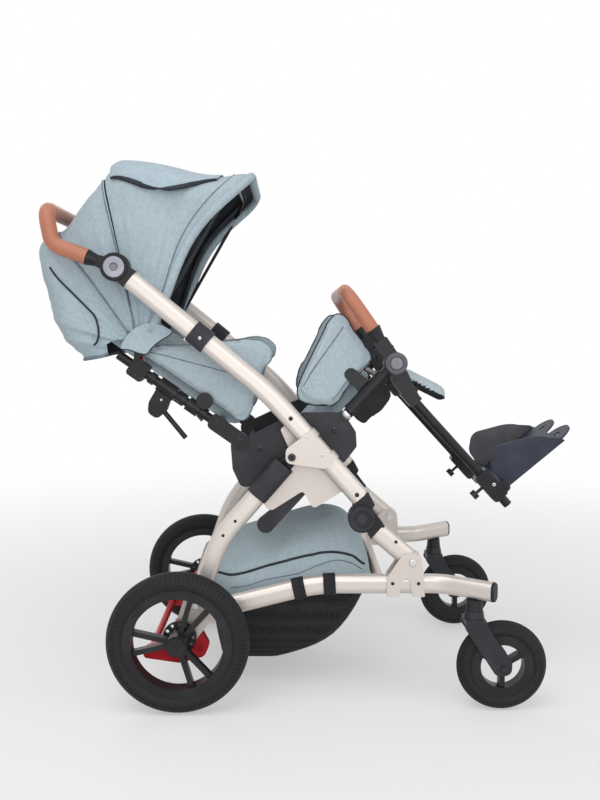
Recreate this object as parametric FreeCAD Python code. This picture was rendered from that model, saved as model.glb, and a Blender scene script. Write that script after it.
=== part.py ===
"""Special needs stroller: folding tube frame, tilting seat unit, canopy, leg rest and basket.

Millimetres. X forward, Y to the sitter's left, Z up. While it is drawn, x = 0 is the rear axle and
z = 0 is the floor; every piece is moved back by FRAME_MIDDLE when it is written.
"""
import math
import os

import FreeCAD
import Part

Vec = FreeCAD.Vector

# Frame of the finished part
FRAME_MIDDLE = 274.0        # rear axle to the middle of the length

# Wheels
REAR_TYRE_R = 150.0
REAR_RIM_R = 115.0
REAR_RIM_INNER_R = 96.0
REAR_TYRE_WIDTH = 46.0
REAR_TRACK_HALF = 282.5
FRONT_TYRE_R = 95.0
FRONT_RIM_R = 66.0
FRONT_RIM_INNER_R = 46.0
FRONT_TYRE_WIDTH = 36.0
AXLE_R = 6.0
RUNNING_GAP = 0.05          # radial gap of pins and axles in their bores
SEAT_GAP = 0.3              # gap between a piece and what it rests on or turns beside
BEARING_R = 14.0
BEARING_WIDTH = 9.0
REAR_HUB_HALF = 27.0
REAR_HUB_R = 22.0
FRONT_HUB_R = 14.0

# Oval frame tube
TUBE_TALL = 42.0
TUBE_WIDE = 28.0
TUBE_WALL = 2.2
FRAME_Y = 225.0             # middle plane of each side frame
PLATE = 4.0                 # folded plates and gussets
PIVOT_R = 5.0

# Side frame points, x and z
RAIL_REAR_X = 82.0
RAIL_BEND_X = 290.0
RAIL_Z = 257.0
RAIL_RISE = 14.0            # degrees of the rear stretch
RAIL_TURN_X = 560.0
RAIL_END_X = 655.0
RAIL_TURN = 34.0            # degrees outward at the front
RAIL_BEND_R = 400.0
RAIL_TURN_R = 90.0
FRONT_PIVOT = (494.0, 307.0)
FOLD_PIVOT = (386.5, 400.6)
REAR_PIVOT = (33.0, 214.0)
LEG_TOP = (238.0, 533.0)
LEG_BEND = (84.0, 355.0)
HANDLE_PIVOT = (-128.0, 928.5)
PUSH_BEND = (190.0, 666.0)
PUSH_END = (383.0, 444.0)
FOLD_R = 29.0               # disc of the fold hinge
LEG_Y = 219.5               # rear legs stand a little inboard

# Casters
STEM_X = 621.0
CASTER_Y = 268.0
TRAIL = 59.0
STEM_R = 9.0
HOUSING_BOTTOM = 212.0

# Seat unit
TILT_PIVOT = (262.0, 500.0)
TILT_TUBE_R = 12.0
SEAT_RISE = 47.3            # degrees of the seat above level
SEAT_ORIGIN = (350.0, 610.0)
SEAT_LENGTH = 161.0         # from there to the knee hinge
SEAT_TUBE_Y = 184.0
SEAT_TUBE_R = 11.0
SHELL_Y = 181.0             # inner face of the seat's side plates
SHELL_WALL = 9.0
BACK_PIVOT = (126.5, 562.7)
BACK_ANGLE = 144.8          # degrees of the back from straight ahead
BACK_TUBE_R = 10.0
BACK_TUBE_LENGTH = 318.0
SEAT_HALF = 147.0           # half width of the cushions
WING_OUTER = 178.0
WING_THICK = 27.0
KNEE_R = 24.0
GRAB_RISE = 125.0           # degrees of the grab bar's arms
GRAB_REACH = 187.0
GRAB_R = 15.0

# Leg rest and foot plate
LEG_ANGLE = -47.7
LEG_DROP = 20.0             # leg tubes below the line of the knee
LEG_TUBE_R = 10.0
LEG_TUBE_LENGTH = 336.0
LEG_TUBE_Y = 150.0
FOOT_ALONG = 284.0          # foot bracket's middle, measured down the leg tube
FOOT_RISE = 40.0
FOOT_LENGTH = 172.0
FOOT_HALF = 128.0
FOOT_WALL = 4.0

# Canopy
CANOPY_PIVOT = (-86.0, 760.0)
CANOPY_HALF = 192.0
CANOPY_CLOTH = 4.0

# Basket
BASKET_HALF = 172.0
BASKET_TOP = 262.0
BASKET_FLOOR = 60.0
COVER_TOP = 376.0


def unit(degrees):
    """Direction in the side view, counted up from straight ahead."""
    angle = math.radians(degrees)
    return (math.cos(angle), math.sin(angle))


def along(point, degrees, distance, lift=0.0):
    """Point of the side view reached by going along a direction and then square to it, to its left."""
    c, s = unit(degrees)
    return (point[0] + c * distance - s * lift, point[1] + s * distance + c * lift)


def rod(x, z, radius, y0, y1):
    """Round bar across the part."""
    return Part.makeCylinder(radius, y1 - y0, Vec(x, y0, z), Vec(0, 1, 0))


def ring(x, z, outer, inner, y0, y1):
    """Round bar across the part with a bore."""
    return rod(x, z, outer, y0, y1).cut(rod(x, z, inner, y0 - 1, y1 + 1))


def bar(start, end, radius):
    """Round bar between two points."""
    a, b = Vec(*start), Vec(*end)
    return Part.makeCylinder(radius, (b - a).Length, a, b - a)


def outline(corners):
    """Closed wire in the side view through (x, z, radius) corners, rounded by tangent arcs."""
    points = [Vec(c[0], 0, c[1]) for c in corners]
    count = len(points)
    cuts = []
    for i, corner in enumerate(corners):
        to_last = (points[i - 1] - points[i]).normalize()
        to_next = (points[(i + 1) % count] - points[i]).normalize()
        radius = corner[2] if len(corner) > 2 else 0.0
        half = to_last.getAngle(to_next) / 2
        reach = radius / math.tan(half)
        middle = points[i]
        if radius > 0:
            inward = (to_last + to_next).normalize()
            middle = points[i] + inward * (radius / math.sin(half) - radius)
        cuts.append((points[i] + to_last * reach, middle, points[i] + to_next * reach))
    edges = []
    for i, (enter, middle, leave) in enumerate(cuts):
        if (leave - enter).Length > 1e-6:
            edges.append(Part.Arc(enter, middle, leave).toShape())
        following = cuts[(i + 1) % count][0]
        if (following - leave).Length > 1e-6:
            edges.append(Part.LineSegment(leave, following).toShape())
    return Part.Wire(edges)


def plate(corners, y0, y1):
    """Plate of a rounded side-view outline between two y planes."""
    solid = Part.Face(outline(corners)).extrude(Vec(0, y1 - y0, 0))
    solid.translate(Vec(0, y0, 0))
    return solid


def oval_wire(origin, tall, side, half_tall, half_side):
    """Oval of two straight flanks and two half rounds."""
    straight = half_tall - half_side
    top, low = origin + tall * straight, origin - tall * straight
    return Part.Wire([
        Part.Arc(top + side * half_side, top + tall * half_side, top - side * half_side).toShape(),
        Part.LineSegment(top - side * half_side, low - side * half_side).toShape(),
        Part.Arc(low - side * half_side, low - tall * half_side, low + side * half_side).toShape(),
        Part.LineSegment(low + side * half_side, top + side * half_side).toShape()])


def oval_face(origin, along_way, side, tall_size, wide_size, wall):
    """Hollow oval section square to a direction; wall 0 makes it solid."""
    tall = side.cross(along_way).normalize()
    wires = [oval_wire(origin, tall, side, tall_size / 2, wide_size / 2)]
    if wall > 0:
        wires.append(oval_wire(origin, tall, side, tall_size / 2 - wall, wide_size / 2 - wall))
    return Part.makeFace(wires, "Part::FaceMakerBullseye")


def round_face(origin, along_way, radius, wall):
    """Hollow round section square to a direction; wall 0 makes it solid."""
    wires = [Part.Wire(Part.makeCircle(radius, origin, along_way))]
    if wall > 0:
        wires.append(Part.Wire(Part.makeCircle(radius - wall, origin, along_way)))
    return Part.makeFace(wires, "Part::FaceMakerBullseye")


def bent(face, points, bend_radius):
    """Carry a section along straight runs joined by tangent bends."""
    runs = []
    here = points[0]
    for i in range(1, len(points)):
        way = (points[i] - points[i - 1]).normalize()
        if i == len(points) - 1:
            runs.append(face.extrude(points[i] - here))
            break
        onward = (points[i + 1] - points[i]).normalize()
        turn = way.getAngle(onward)
        reach = bend_radius * math.tan(turn / 2)
        start = points[i] - way * reach
        runs.append(face.extrude(start - here))
        axis = way.cross(onward).normalize()
        centre = start + axis.cross(way) * bend_radius
        corner = face.translated(start - here)
        runs.append(corner.revolve(centre, axis, math.degrees(turn)))
        face = corner.rotated(centre, axis, math.degrees(turn))
        here = points[i] + onward * reach
    return runs[0].multiFuse(runs[1:]).removeSplitter()


def oval_tube(points, bend_radius, tall=TUBE_TALL, wide=TUBE_WIDE, wall=TUBE_WALL):
    """Bent oval frame tube whose flanks start out facing the sides."""
    spots = [Vec(*p) for p in points]
    first = (spots[1] - spots[0]).normalize()
    return bent(oval_face(spots[0], first, Vec(0, 1, 0), tall, wide, wall), spots, bend_radius)


def round_tube(points, bend_radius, radius, wall=0.0):
    """Bent round tube or rod."""
    spots = [Vec(*p) for p in points]
    first = (spots[1] - spots[0]).normalize()
    return bent(round_face(spots[0], first, radius, wall), spots, bend_radius)


def mirrored(shape):
    """The same piece on the other side."""
    return shape.mirror(Vec(0, 0, 0), Vec(0, 1, 0))


def fused(pieces):
    """One solid from touching pieces."""
    return pieces[0].multiFuse(pieces[1:]).removeSplitter()


nodes = {}


def keep(name, *solids):
    """Keep one or more separate solids as a node."""
    nodes[name] = solids[0] if len(solids) == 1 else Part.makeCompound(list(solids))


def keep_pair(name, shape):
    """Keep a left piece and its mirrored right piece as two nodes."""
    keep(name + "_left", shape)
    keep(name + "_right", mirrored(shape))


def keep_both(name, *solids):
    """Keep left pieces and their mirrored right pieces in one node."""
    keep(name, *solids, *[mirrored(s) for s in solids])


# Wheels
RIM_SHARE = 0.78            # rim width as a share of the tyre width


def tyre(outer, inner, width, y):
    """Foam tyre with a rounded tread, turned about the axle."""
    half = width / 2
    shoulder = half * 0.8
    section = Part.Wire([
        Part.LineSegment(Vec(0, y - shoulder, inner), Vec(0, y + shoulder, inner)).toShape(),
        Part.Arc(Vec(0, y + shoulder, inner), Vec(0, y + half, (outer + inner) / 2),
                 Vec(0, y + shoulder * 0.7, outer - 5)).toShape(),
        Part.Arc(Vec(0, y + shoulder * 0.7, outer - 5), Vec(0, y, outer),
                 Vec(0, y - shoulder * 0.7, outer - 5)).toShape(),
        Part.Arc(Vec(0, y - shoulder * 0.7, outer - 5), Vec(0, y - half, (outer + inner) / 2),
                 Vec(0, y - shoulder, inner)).toShape()])
    return Part.Face(section).revolve(Vec(0, 0, 0), Vec(0, 1, 0), 360)


def spoked_rim(outer, inner, width, hub, spokes, spoke_wide, y):
    """Moulded rim, hub and spokes, drawn about the axle at the origin."""
    half = width / 2 * RIM_SHARE
    hub_r, hub_half = hub
    pieces = [ring(0, 0, outer, inner, y - half, y + half), rod(0, 0, hub_r, y - hub_half, y + hub_half)]
    for angle in spokes:
        spoke = Part.makeBox(inner + 2 - hub_r / 2, spoke_wide * 1.6, spoke_wide)
        spoke.translate(Vec(hub_r / 2, y - spoke_wide * 0.8, -spoke_wide / 2))
        spoke.rotate(Vec(0, y, 0), Vec(0, -1, 0), angle)
        pieces.append(spoke)
    return fused(pieces)


REAR_SPOKES = [third * 120 + 180 + side * 13.0 for third in range(3) for side in (-1, 1)]
REAR_AXLE_Z = REAR_TYRE_R
REAR_SPOKE = 11.0
rear_rim = spoked_rim(REAR_RIM_R - SEAT_GAP, REAR_RIM_INNER_R, REAR_TYRE_WIDTH, (REAR_HUB_R, REAR_HUB_HALF),
                      REAR_SPOKES, REAR_SPOKE, REAR_TRACK_HALF)
HUB_IN = REAR_TRACK_HALF - REAR_HUB_HALF
HUB_OUT = REAR_TRACK_HALF + REAR_HUB_HALF
BRAKE_RING_R = 36.0
RING_HOLES = 12
RING_HOLE_AT = 29.0
RING_HOLE_R = 4.0
brake_ring = ring(0, 0, BRAKE_RING_R, REAR_HUB_R - 2, HUB_IN - 3, HUB_IN + 2)
for hole in range(RING_HOLES):
    c, s = unit(hole * 360 / RING_HOLES)
    brake_ring = brake_ring.cut(rod(RING_HOLE_AT * c, RING_HOLE_AT * s, RING_HOLE_R, HUB_IN - 4, HUB_IN + 3))
AXLE_ROOM = 1.5             # the hub stays clear of the axle between its bearings
rear_rim = fused([rear_rim, brake_ring]).cut(rod(0, 0, AXLE_R + AXLE_ROOM, HUB_IN - 5, HUB_OUT + 5))
rear_rim = rear_rim.cut(rod(0, 0, BEARING_R, HUB_IN - 4, HUB_IN + BEARING_WIDTH))
rear_rim = rear_rim.cut(rod(0, 0, BEARING_R, HUB_OUT - BEARING_WIDTH, HUB_OUT + 4))
rear_bearings = []
for spot in (HUB_IN, HUB_OUT - BEARING_WIDTH):
    rear_bearings.append(ring(0, REAR_AXLE_Z, BEARING_R, AXLE_R + RUNNING_GAP, spot, spot + BEARING_WIDTH))
HUB_CAP_R = 19.0
hub_cap = rod(0, 0, HUB_CAP_R, HUB_OUT + SEAT_GAP, HUB_OUT + 4)
hub_lip = ring(0, 0, HUB_CAP_R, BEARING_R + 2, HUB_OUT, HUB_OUT + 1)
rear_rim = fused([rear_rim, hub_cap, hub_lip])
rear_rim.translate(Vec(0, 0, REAR_AXLE_Z))
rear_tyre = tyre(REAR_TYRE_R, REAR_RIM_R, REAR_TYRE_WIDTH, REAR_TRACK_HALF)
rear_tyre.translate(Vec(0, 0, REAR_AXLE_Z))
keep_pair("rear_tyre", rear_tyre)
keep_pair("rear_rim", rear_rim)
keep("rear_bearings_left", *rear_bearings)
keep("rear_bearings_right", *[mirrored(b) for b in rear_bearings])
AXLE_END = HUB_OUT - 2
rear_axle = rod(0, REAR_AXLE_Z, AXLE_R, -AXLE_END, AXLE_END)

# Base rails with their caps, brackets and cross tubes
rail_rear_z = RAIL_Z - (RAIL_BEND_X - RAIL_REAR_X) * math.tan(math.radians(RAIL_RISE))
rail_middle_x = (RAIL_BEND_X + RAIL_TURN_X) / 2
rail_end_y = FRAME_Y + (RAIL_END_X - RAIL_TURN_X) * math.tan(math.radians(RAIL_TURN))
rail_back = oval_tube([(RAIL_REAR_X, FRAME_Y, rail_rear_z), (RAIL_BEND_X, FRAME_Y, RAIL_Z),
                       (rail_middle_x, FRAME_Y, RAIL_Z)], RAIL_BEND_R)
rail_front = oval_tube([(rail_middle_x, FRAME_Y, RAIL_Z), (RAIL_TURN_X, FRAME_Y, RAIL_Z),
                        (RAIL_END_X, rail_end_y, RAIL_Z)], RAIL_TURN_R)
base_rail = fused([rail_back, rail_front])
keep_pair("base_rail", base_rail)
turn_way = Vec(*unit(RAIL_TURN), 0)
turn_side = Vec(-turn_way.y, turn_way.x, 0)
cap_start = Vec(RAIL_END_X, rail_end_y, RAIL_Z)
end_cap = oval_face(cap_start, turn_way, turn_side, TUBE_TALL, TUBE_WIDE, 0).extrude(turn_way * 6)
end_cap = end_cap.makeFillet(3.0, [e for e in end_cap.Edges
                                   if (e.CenterOfMass - cap_start).dot(turn_way) > 5.9])

OUTER_FACE = FRAME_Y + TUBE_WIDE / 2 + SEAT_GAP
INNER_FACE = FRAME_Y - TUBE_WIDE / 2 - SEAT_GAP
RAIL_LOW = RAIL_Z - TUBE_TALL / 2 - SEAT_GAP
fx, fz = FRONT_PIVOT
FOOT_TOE = 41.0             # half length of the front bracket along the rail
TOE_X = fx - 14             # middle of its two feet, a little behind its pivot
front_side = [(TOE_X - FOOT_TOE, RAIL_LOW - 3, 3), (TOE_X - 14, RAIL_LOW - 3, 3),
              (TOE_X - 10, RAIL_Z + 8, 2), (TOE_X, RAIL_Z + 18, 8), (TOE_X + 10, RAIL_Z + 8, 2),
              (TOE_X + 14, RAIL_LOW - 3, 3), (TOE_X + FOOT_TOE, RAIL_LOW - 3, 3),
              (TOE_X + FOOT_TOE - 4, RAIL_Z + 24, 10), (fx + 19, fz + 20, 18), (fx - 19, fz + 20, 18),
              (TOE_X - FOOT_TOE + 2, RAIL_Z + 20, 12)]
front_bracket = fused([
    plate(front_side, OUTER_FACE, OUTER_FACE + PLATE),
    plate(front_side, INNER_FACE - PLATE, INNER_FACE),
    Part.makeBox(FOOT_TOE - 18, OUTER_FACE - INNER_FACE + 4, 2.7,
                 Vec(TOE_X - FOOT_TOE + 3, INNER_FACE - 2, RAIL_LOW - 3)),
    Part.makeBox(FOOT_TOE - 18, OUTER_FACE - INNER_FACE + 4, 2.7,
                 Vec(TOE_X + 15, INNER_FACE - 2, RAIL_LOW - 3))])
front_bracket = front_bracket.cut(rod(fx, fz, PIVOT_R + RUNNING_GAP, 190, 260))

rx, rz = REAR_PIVOT
LEG_INNER = LEG_Y - TUBE_WIDE / 2 - SEAT_GAP
rear_side = [(-24, REAR_AXLE_Z - 22, 20), (24, REAR_AXLE_Z - 22, 20), (60, 176, 15), (128, 196, 6),
             (122, 226, 8), (66, 221, 10), (rx + 24, rz + 22, 20), (rx - 22, rz + 24, 20)]
rear_bracket = fused([
    plate(rear_side, OUTER_FACE, OUTER_FACE + PLATE),
    plate(rear_side, LEG_INNER - PLATE, LEG_INNER),
    rod(0, REAR_AXLE_Z, 18.0, LEG_INNER - 1, OUTER_FACE + 1),
    rod(rx, rz, 10.0, LEG_Y + TUBE_WIDE / 2 + SEAT_GAP, OUTER_FACE + 1)])
for spot, radius in ((REAR_PIVOT, PIVOT_R), ((0, REAR_AXLE_Z), AXLE_R)):
    rear_bracket = rear_bracket.cut(rod(*spot, radius + RUNNING_GAP, 190, 260))
keep_both("frame_brackets", front_bracket, rear_bracket)

CROSS_R = 12.0
FRONT_CROSS_X = 426.5
rear_cross = ring(0, REAR_AXLE_Z, CROSS_R, AXLE_R + RUNNING_GAP, -(LEG_INNER - PLATE), LEG_INNER - PLATE)
front_cross = ring(FRONT_CROSS_X, RAIL_Z, CROSS_R, CROSS_R - 2, -INNER_FACE, INNER_FACE)
keep("cross_tubes", rear_cross, front_cross)

def pivot_bolt(spot, y0, y1, head_r=8.0):
    """Shouldered pivot bolt with a domed head outside and a thin nut inside."""
    shank = rod(*spot, PIVOT_R, y0, y1)
    head = rod(*spot, head_r, y1, y1 + 3.5)
    rim = [e for e in head.Edges if abs(e.CenterOfMass.y - y1 - 3.5) < 0.01]
    return fused([shank, head.makeFillet(2.0, rim), rod(*spot, head_r, y0 - 3, y0)])


bolts = [pivot_bolt(FRONT_PIVOT, INNER_FACE - PLATE, OUTER_FACE + PLATE),
         pivot_bolt(REAR_PIVOT, LEG_INNER - PLATE, OUTER_FACE + PLATE)]
keep("axle_and_bolts", rear_axle, *bolts, *[mirrored(b) for b in bolts])

# Casters: fixed housing, turning fork and spinning wheel
HOUSING_R = 18.0
housing = Part.makeCone(HOUSING_R, HOUSING_R - 2, RAIL_LOW - HOUSING_BOTTOM,
                        Vec(STEM_X, CASTER_Y, HOUSING_BOTTOM))
housing = housing.cut(Part.makeCylinder(STEM_R + RUNNING_GAP, 16, Vec(STEM_X, CASTER_Y, HOUSING_BOTTOM)))
keep_both("rail_ends_and_housings", end_cap, housing)

FORK_TOP = HOUSING_BOTTOM - SEAT_GAP
axle_x = STEM_X + TRAIL
FORK_GAP = FRONT_TYRE_WIDTH / 2 + 3.5
BLADE = 6.0
blade_side = [(STEM_X - 24, FORK_TOP - 30, 8), (axle_x - 17, FRONT_TYRE_R - 15, 15),
              (axle_x + 16, FRONT_TYRE_R - 15, 15), (axle_x + 17, FRONT_TYRE_R + 16, 12),
              (STEM_X + 36, FORK_TOP - 46, 12), (STEM_X + 18, FORK_TOP - 14, 8),
              (STEM_X - 18, FORK_TOP - 14, 8)]
CROWN_LOW = FORK_TOP - 18
fork = fused([
    Part.makeCylinder(STEM_R, 15, Vec(STEM_X, CASTER_Y, FORK_TOP)),
    Part.makeCone(22, 19, 18, Vec(STEM_X, CASTER_Y, FORK_TOP - 18)),
    Part.makeBox(42, 2 * (FORK_GAP + BLADE), 12,
                 Vec(STEM_X - 21, CASTER_Y - FORK_GAP - BLADE, CROWN_LOW - 9)),
    plate(blade_side, CASTER_Y + FORK_GAP, CASTER_Y + FORK_GAP + BLADE),
    plate(blade_side, CASTER_Y - FORK_GAP - BLADE, CASTER_Y - FORK_GAP)])
wheel_room = rod(axle_x, FRONT_TYRE_R, FRONT_TYRE_R + 4, CASTER_Y - FORK_GAP, CASTER_Y + FORK_GAP)
fork = fork.cut(wheel_room)
FRONT_AXLE_R = 4.0
fork_bore = rod(axle_x, FRONT_TYRE_R, FRONT_AXLE_R, CASTER_Y - 40, CASTER_Y + 40)
BOLT_OUT = FORK_GAP + BLADE
front_axle = fused([
    rod(axle_x, FRONT_TYRE_R, FRONT_AXLE_R, CASTER_Y - BOLT_OUT, CASTER_Y + BOLT_OUT),
    rod(axle_x, FRONT_TYRE_R, 7.0, CASTER_Y + BOLT_OUT, CASTER_Y + BOLT_OUT + 4),
    rod(axle_x, FRONT_TYRE_R, 7.0, CASTER_Y - BOLT_OUT - 4, CASTER_Y - BOLT_OUT)])
fork = fork.cut(fork_bore)
keep("caster_fork_left", fork, front_axle)
keep("caster_fork_right", mirrored(fork), mirrored(front_axle))
FRONT_SPOKES = [270.0, 30.0, 150.0]
FRONT_SPOKE = 12.0
front_rim = spoked_rim(FRONT_RIM_R - SEAT_GAP, FRONT_RIM_INNER_R, FRONT_TYRE_WIDTH,
                       (FRONT_HUB_R, FRONT_TYRE_WIDTH / 2 + 2), FRONT_SPOKES, FRONT_SPOKE, CASTER_Y)
front_rim = front_rim.cut(rod(0, 0, FRONT_AXLE_R + RUNNING_GAP, CASTER_Y - 40, CASTER_Y + 40))
front_rim.translate(Vec(axle_x, 0, FRONT_TYRE_R))
front_tyre = tyre(FRONT_TYRE_R, FRONT_RIM_R, FRONT_TYRE_WIDTH, CASTER_Y)
front_tyre.translate(Vec(axle_x, 0, FRONT_TYRE_R))
keep_pair("front_tyre", front_tyre)
keep_pair("front_rim", front_rim)

# Foot brake: two red rockers on the rear cross tube, joined by a bar
BRAKE_Y0, BRAKE_Y1 = 177.0, 196.0
rocker_side = [(-88, 84, 8), (-8, 72, 20), (46, 86, 16), (58, 112, 16), (44, 138, 10), (16, 170, 12),
               (-18, 170, 14), (-24, 132, 16), (-84, 106, 8)]
rocker = plate(rocker_side, BRAKE_Y0, BRAKE_Y1).cut(rod(0, REAR_AXLE_Z, CROSS_R + RUNNING_GAP, 150, 220))
rocker = rocker.cut(rod(34, 110, 12.0, BRAKE_Y1 - 5, BRAKE_Y1 + 1))
brake_bar = rod(-72, 95, 8.0, -BRAKE_Y0 - 1, BRAKE_Y0 + 1)
keep("brake_pedal", fused([rocker, mirrored(rocker), brake_bar]))

# Rear legs, their top links and the lock sleeves
leg_way = unit(math.degrees(math.atan2(LEG_TOP[1] - LEG_BEND[1], LEG_TOP[0] - LEG_BEND[0])))
leg_angle = math.degrees(math.atan2(leg_way[1], leg_way[0]))
leg_run = math.hypot(LEG_TOP[0] - LEG_BEND[0], LEG_TOP[1] - LEG_BEND[1])
LEG_STOP = 46.0             # the tube ends this far before the top pivot
leg_end = along(LEG_BEND, leg_angle, leg_run - LEG_STOP)
rear_leg = oval_tube([(rx, LEG_Y, rz), (LEG_BEND[0], LEG_Y, LEG_BEND[1]),
                      (leg_end[0], LEG_Y, leg_end[1])], 250.0)
LEG_FACE = TUBE_WIDE / 2
leg_eye = rod(rx, rz, TUBE_TALL / 2, LEG_Y - LEG_FACE, LEG_Y + LEG_FACE)
rear_leg = fused([rear_leg, leg_eye]).cut(rod(rx, rz, PIVOT_R + RUNNING_GAP, 190, 250))
keep_pair("rear_leg", rear_leg)
LINK_R = 10.0
link_low = along(LEG_TOP, leg_angle, -LEG_STOP)
rails = []
for side in (-1, 1):
    foot = along(link_low, leg_angle, 2.0, side * 9.0)
    top = along(LEG_TOP, leg_angle, 0, side * 6.0)
    rails.append(bar((foot[0], LEG_Y, foot[1]), (top[0], LEG_Y, top[1]), 4.5))
LINK_FOOT = 4.0             # end plate that the two rails stand on
foot_from = along(link_low, leg_angle, RUNNING_GAP)
link_way = Vec(leg_way[0], 0, leg_way[1])
link_foot = oval_face(Vec(foot_from[0], LEG_Y, foot_from[1]), link_way, Vec(0, 1, 0), TUBE_TALL, TUBE_WIDE, 0)
link_foot = link_foot.extrude(link_way * LINK_FOOT)
leg_link = fused(rails + [link_foot, rod(*LEG_TOP, LINK_R, LEG_Y - 7, LEG_Y + 7)])
leg_link = leg_link.cut(rod(*LEG_TOP, PIVOT_R, 190, 250))
keep_both("leg_links", leg_link)
SLEEVE_LENGTH = 90.0
sleeve_top = along(LEG_TOP, leg_angle, -25.0)
sleeve_low = along(LEG_TOP, leg_angle, -25.0 - SLEEVE_LENGTH)
SLEEVE_WALL = 2.6
sleeve_spots = [Vec(sleeve_low[0], LEG_Y, sleeve_low[1]), Vec(sleeve_top[0], LEG_Y, sleeve_top[1])]
sleeve_way = (sleeve_spots[1] - sleeve_spots[0]).normalize()
grown = 2 * (SEAT_GAP + SLEEVE_WALL)
sleeve = oval_face(sleeve_spots[0], sleeve_way, Vec(0, 1, 0), TUBE_TALL + grown, TUBE_WIDE + grown,
                   SLEEVE_WALL).extrude(sleeve_spots[1] - sleeve_spots[0])
keep_pair("lock_sleeve", sleeve)

# Hinge of two halves: a tongue on one piece between the two cheeks of the other
CHEEK_GAP = 0.3

def tongue_half(spot, radius, block, tongue, faces):
    """Half with the middle tongue; its block stays outside the disc beside the tongue."""
    full = plate(block, *faces).cut(rod(*spot, radius + 1.0, faces[0] - 1, faces[1] + 1))
    middle = fused([rod(*spot, radius, *tongue), plate(block, *tongue)])
    return fused([middle] + full.Solids)


def cheek_half(spot, radius, block, tongue, faces):
    """Half with two cheeks; its block stays outside the disc between the cheeks."""
    slot = (tongue[0] - CHEEK_GAP, tongue[1] + CHEEK_GAP)
    cheeks = []
    for span in ((faces[0], slot[0]), (slot[1], faces[1])):
        cheeks.append(fused([rod(*spot, radius + 0.5, *span), plate(block, *span)]))
    bridge = plate(block, *faces).cut(rod(*spot, radius + 1.0, faces[0] - 1, faces[1] + 1))
    return fused(cheeks + bridge.Solids)


TONGUE = (FRAME_Y - 6, FRAME_Y + 6)
TUBE_FACES = (FRAME_Y - TUBE_WIDE / 2, FRAME_Y + TUBE_WIDE / 2)
HINGE_PIN_R = 6.0

# Front links between the base and the fold hinge
LINK_START = (419.0, 372.3)
link_angle = math.degrees(math.atan2(fz - LINK_START[1], fx - LINK_START[0]))
front_link = oval_tube([(fx, FRAME_Y, fz), (LINK_START[0], FRAME_Y, LINK_START[1])], 1.0)
front_link = fused([front_link, rod(fx, fz, TUBE_TALL / 2, *TUBE_FACES)])
front_link = front_link.cut(rod(fx, fz, PIVOT_R + RUNNING_GAP, 190, 260))
keep_pair("front_link", front_link)
half = TUBE_TALL / 2
link_top_left = along(LINK_START, link_angle, 0, half)
link_low_left = along(LINK_START, link_angle, 0, -half)
lower_block = [(*link_top_left, 0), (*link_low_left, 0),
               (FOLD_PIVOT[0] + 8, FOLD_PIVOT[1] - 24, 4), (FOLD_PIVOT[0] + 22, FOLD_PIVOT[1] + 20, 4)]
lower_knuckle = cheek_half(FOLD_PIVOT, FOLD_R, lower_block, TONGUE, TUBE_FACES)
hinge_pin = rod(*FOLD_PIVOT, HINGE_PIN_R, *TUBE_FACES)
hinge_cap = rod(*FOLD_PIVOT, FOLD_R + 0.5, TUBE_FACES[1], TUBE_FACES[1] + 5)
hinge_cap = hinge_cap.makeFillet(2.0, [e for e in hinge_cap.Edges if e.CenterOfMass.y > TUBE_FACES[1] + 4.9])
keep_both("lower_knuckles", fused([lower_knuckle, hinge_pin, hinge_cap]))

# Push tubes with the upper hinge halves, gussets, seat plates and sleeves
push_angle = math.degrees(math.atan2(PUSH_BEND[1] - HANDLE_PIVOT[1], PUSH_BEND[0] - HANDLE_PIVOT[0]))
low_angle = math.degrees(math.atan2(PUSH_END[1] - PUSH_BEND[1], PUSH_END[0] - PUSH_BEND[0]))
HANDLE_R = 29.0
PLUG_REACH = 40.0
push_top = along(HANDLE_PIVOT, push_angle, PLUG_REACH)
push_tube = oval_tube([(push_top[0], FRAME_Y, push_top[1]), (PUSH_BEND[0], FRAME_Y, PUSH_BEND[1]),
                       (PUSH_END[0], FRAME_Y, PUSH_END[1])], 600.0)
keep_pair("push_tube", push_tube)
end_right = along(PUSH_END, low_angle, 0, half)
end_left = along(PUSH_END, low_angle, 0, -half)
upper_block = [(*end_left, 0), (FOLD_PIVOT[0] - 20, FOLD_PIVOT[1] + 6, 3),
               (FOLD_PIVOT[0] + 14, FOLD_PIVOT[1] + 8, 3),
               (FOLD_PIVOT[0] + 27, FOLD_PIVOT[1] + 30, 5), (*end_right, 0)]
upper_knuckle = tongue_half(FOLD_PIVOT, FOLD_R, upper_block, TONGUE, TUBE_FACES)
upper_knuckle = upper_knuckle.cut(rod(*FOLD_PIVOT, HINGE_PIN_R + RUNNING_GAP, 200, 250))
keep_both("upper_knuckles", upper_knuckle)

def tube_band(distance, width, thick):
    """Band hugging the lower stretch of the push tube, measured back from its end."""
    start = along(PUSH_END, low_angle, -distance)
    end = along(PUSH_END, low_angle, -distance + width)
    a, b = Vec(start[0], FRAME_Y, start[1]), Vec(end[0], FRAME_Y, end[1])
    size = 2 * (SEAT_GAP + thick)
    face = oval_face(a, (b - a).normalize(), Vec(0, 1, 0), TUBE_TALL + size, TUBE_WIDE + size, thick)
    return face.extrude(b - a)


GUSSET_FACE = TUBE_FACES[1] + SEAT_GAP
gusset_side = [(LEG_TOP[0] - 13, LEG_TOP[1] - 13, 13), (308, 508, 12), (330, 524, 6), (278, 590, 4),
               (LEG_TOP[0] - 13, LEG_TOP[1] + 16, 16)]
gusset = fused([plate(gusset_side, GUSSET_FACE, GUSSET_FACE + 3.5),
                tube_band(178, 18, 3.0), tube_band(115, 18, 3.0)])
leg_bolt = fused([rod(*LEG_TOP, PIVOT_R, GUSSET_FACE - 2, GUSSET_FACE + 4),
                  rod(*LEG_TOP, 9.0, GUSSET_FACE + 3.5, GUSSET_FACE + 7)])
keep_both("gusset_plates", fused([gusset, leg_bolt]))

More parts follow.
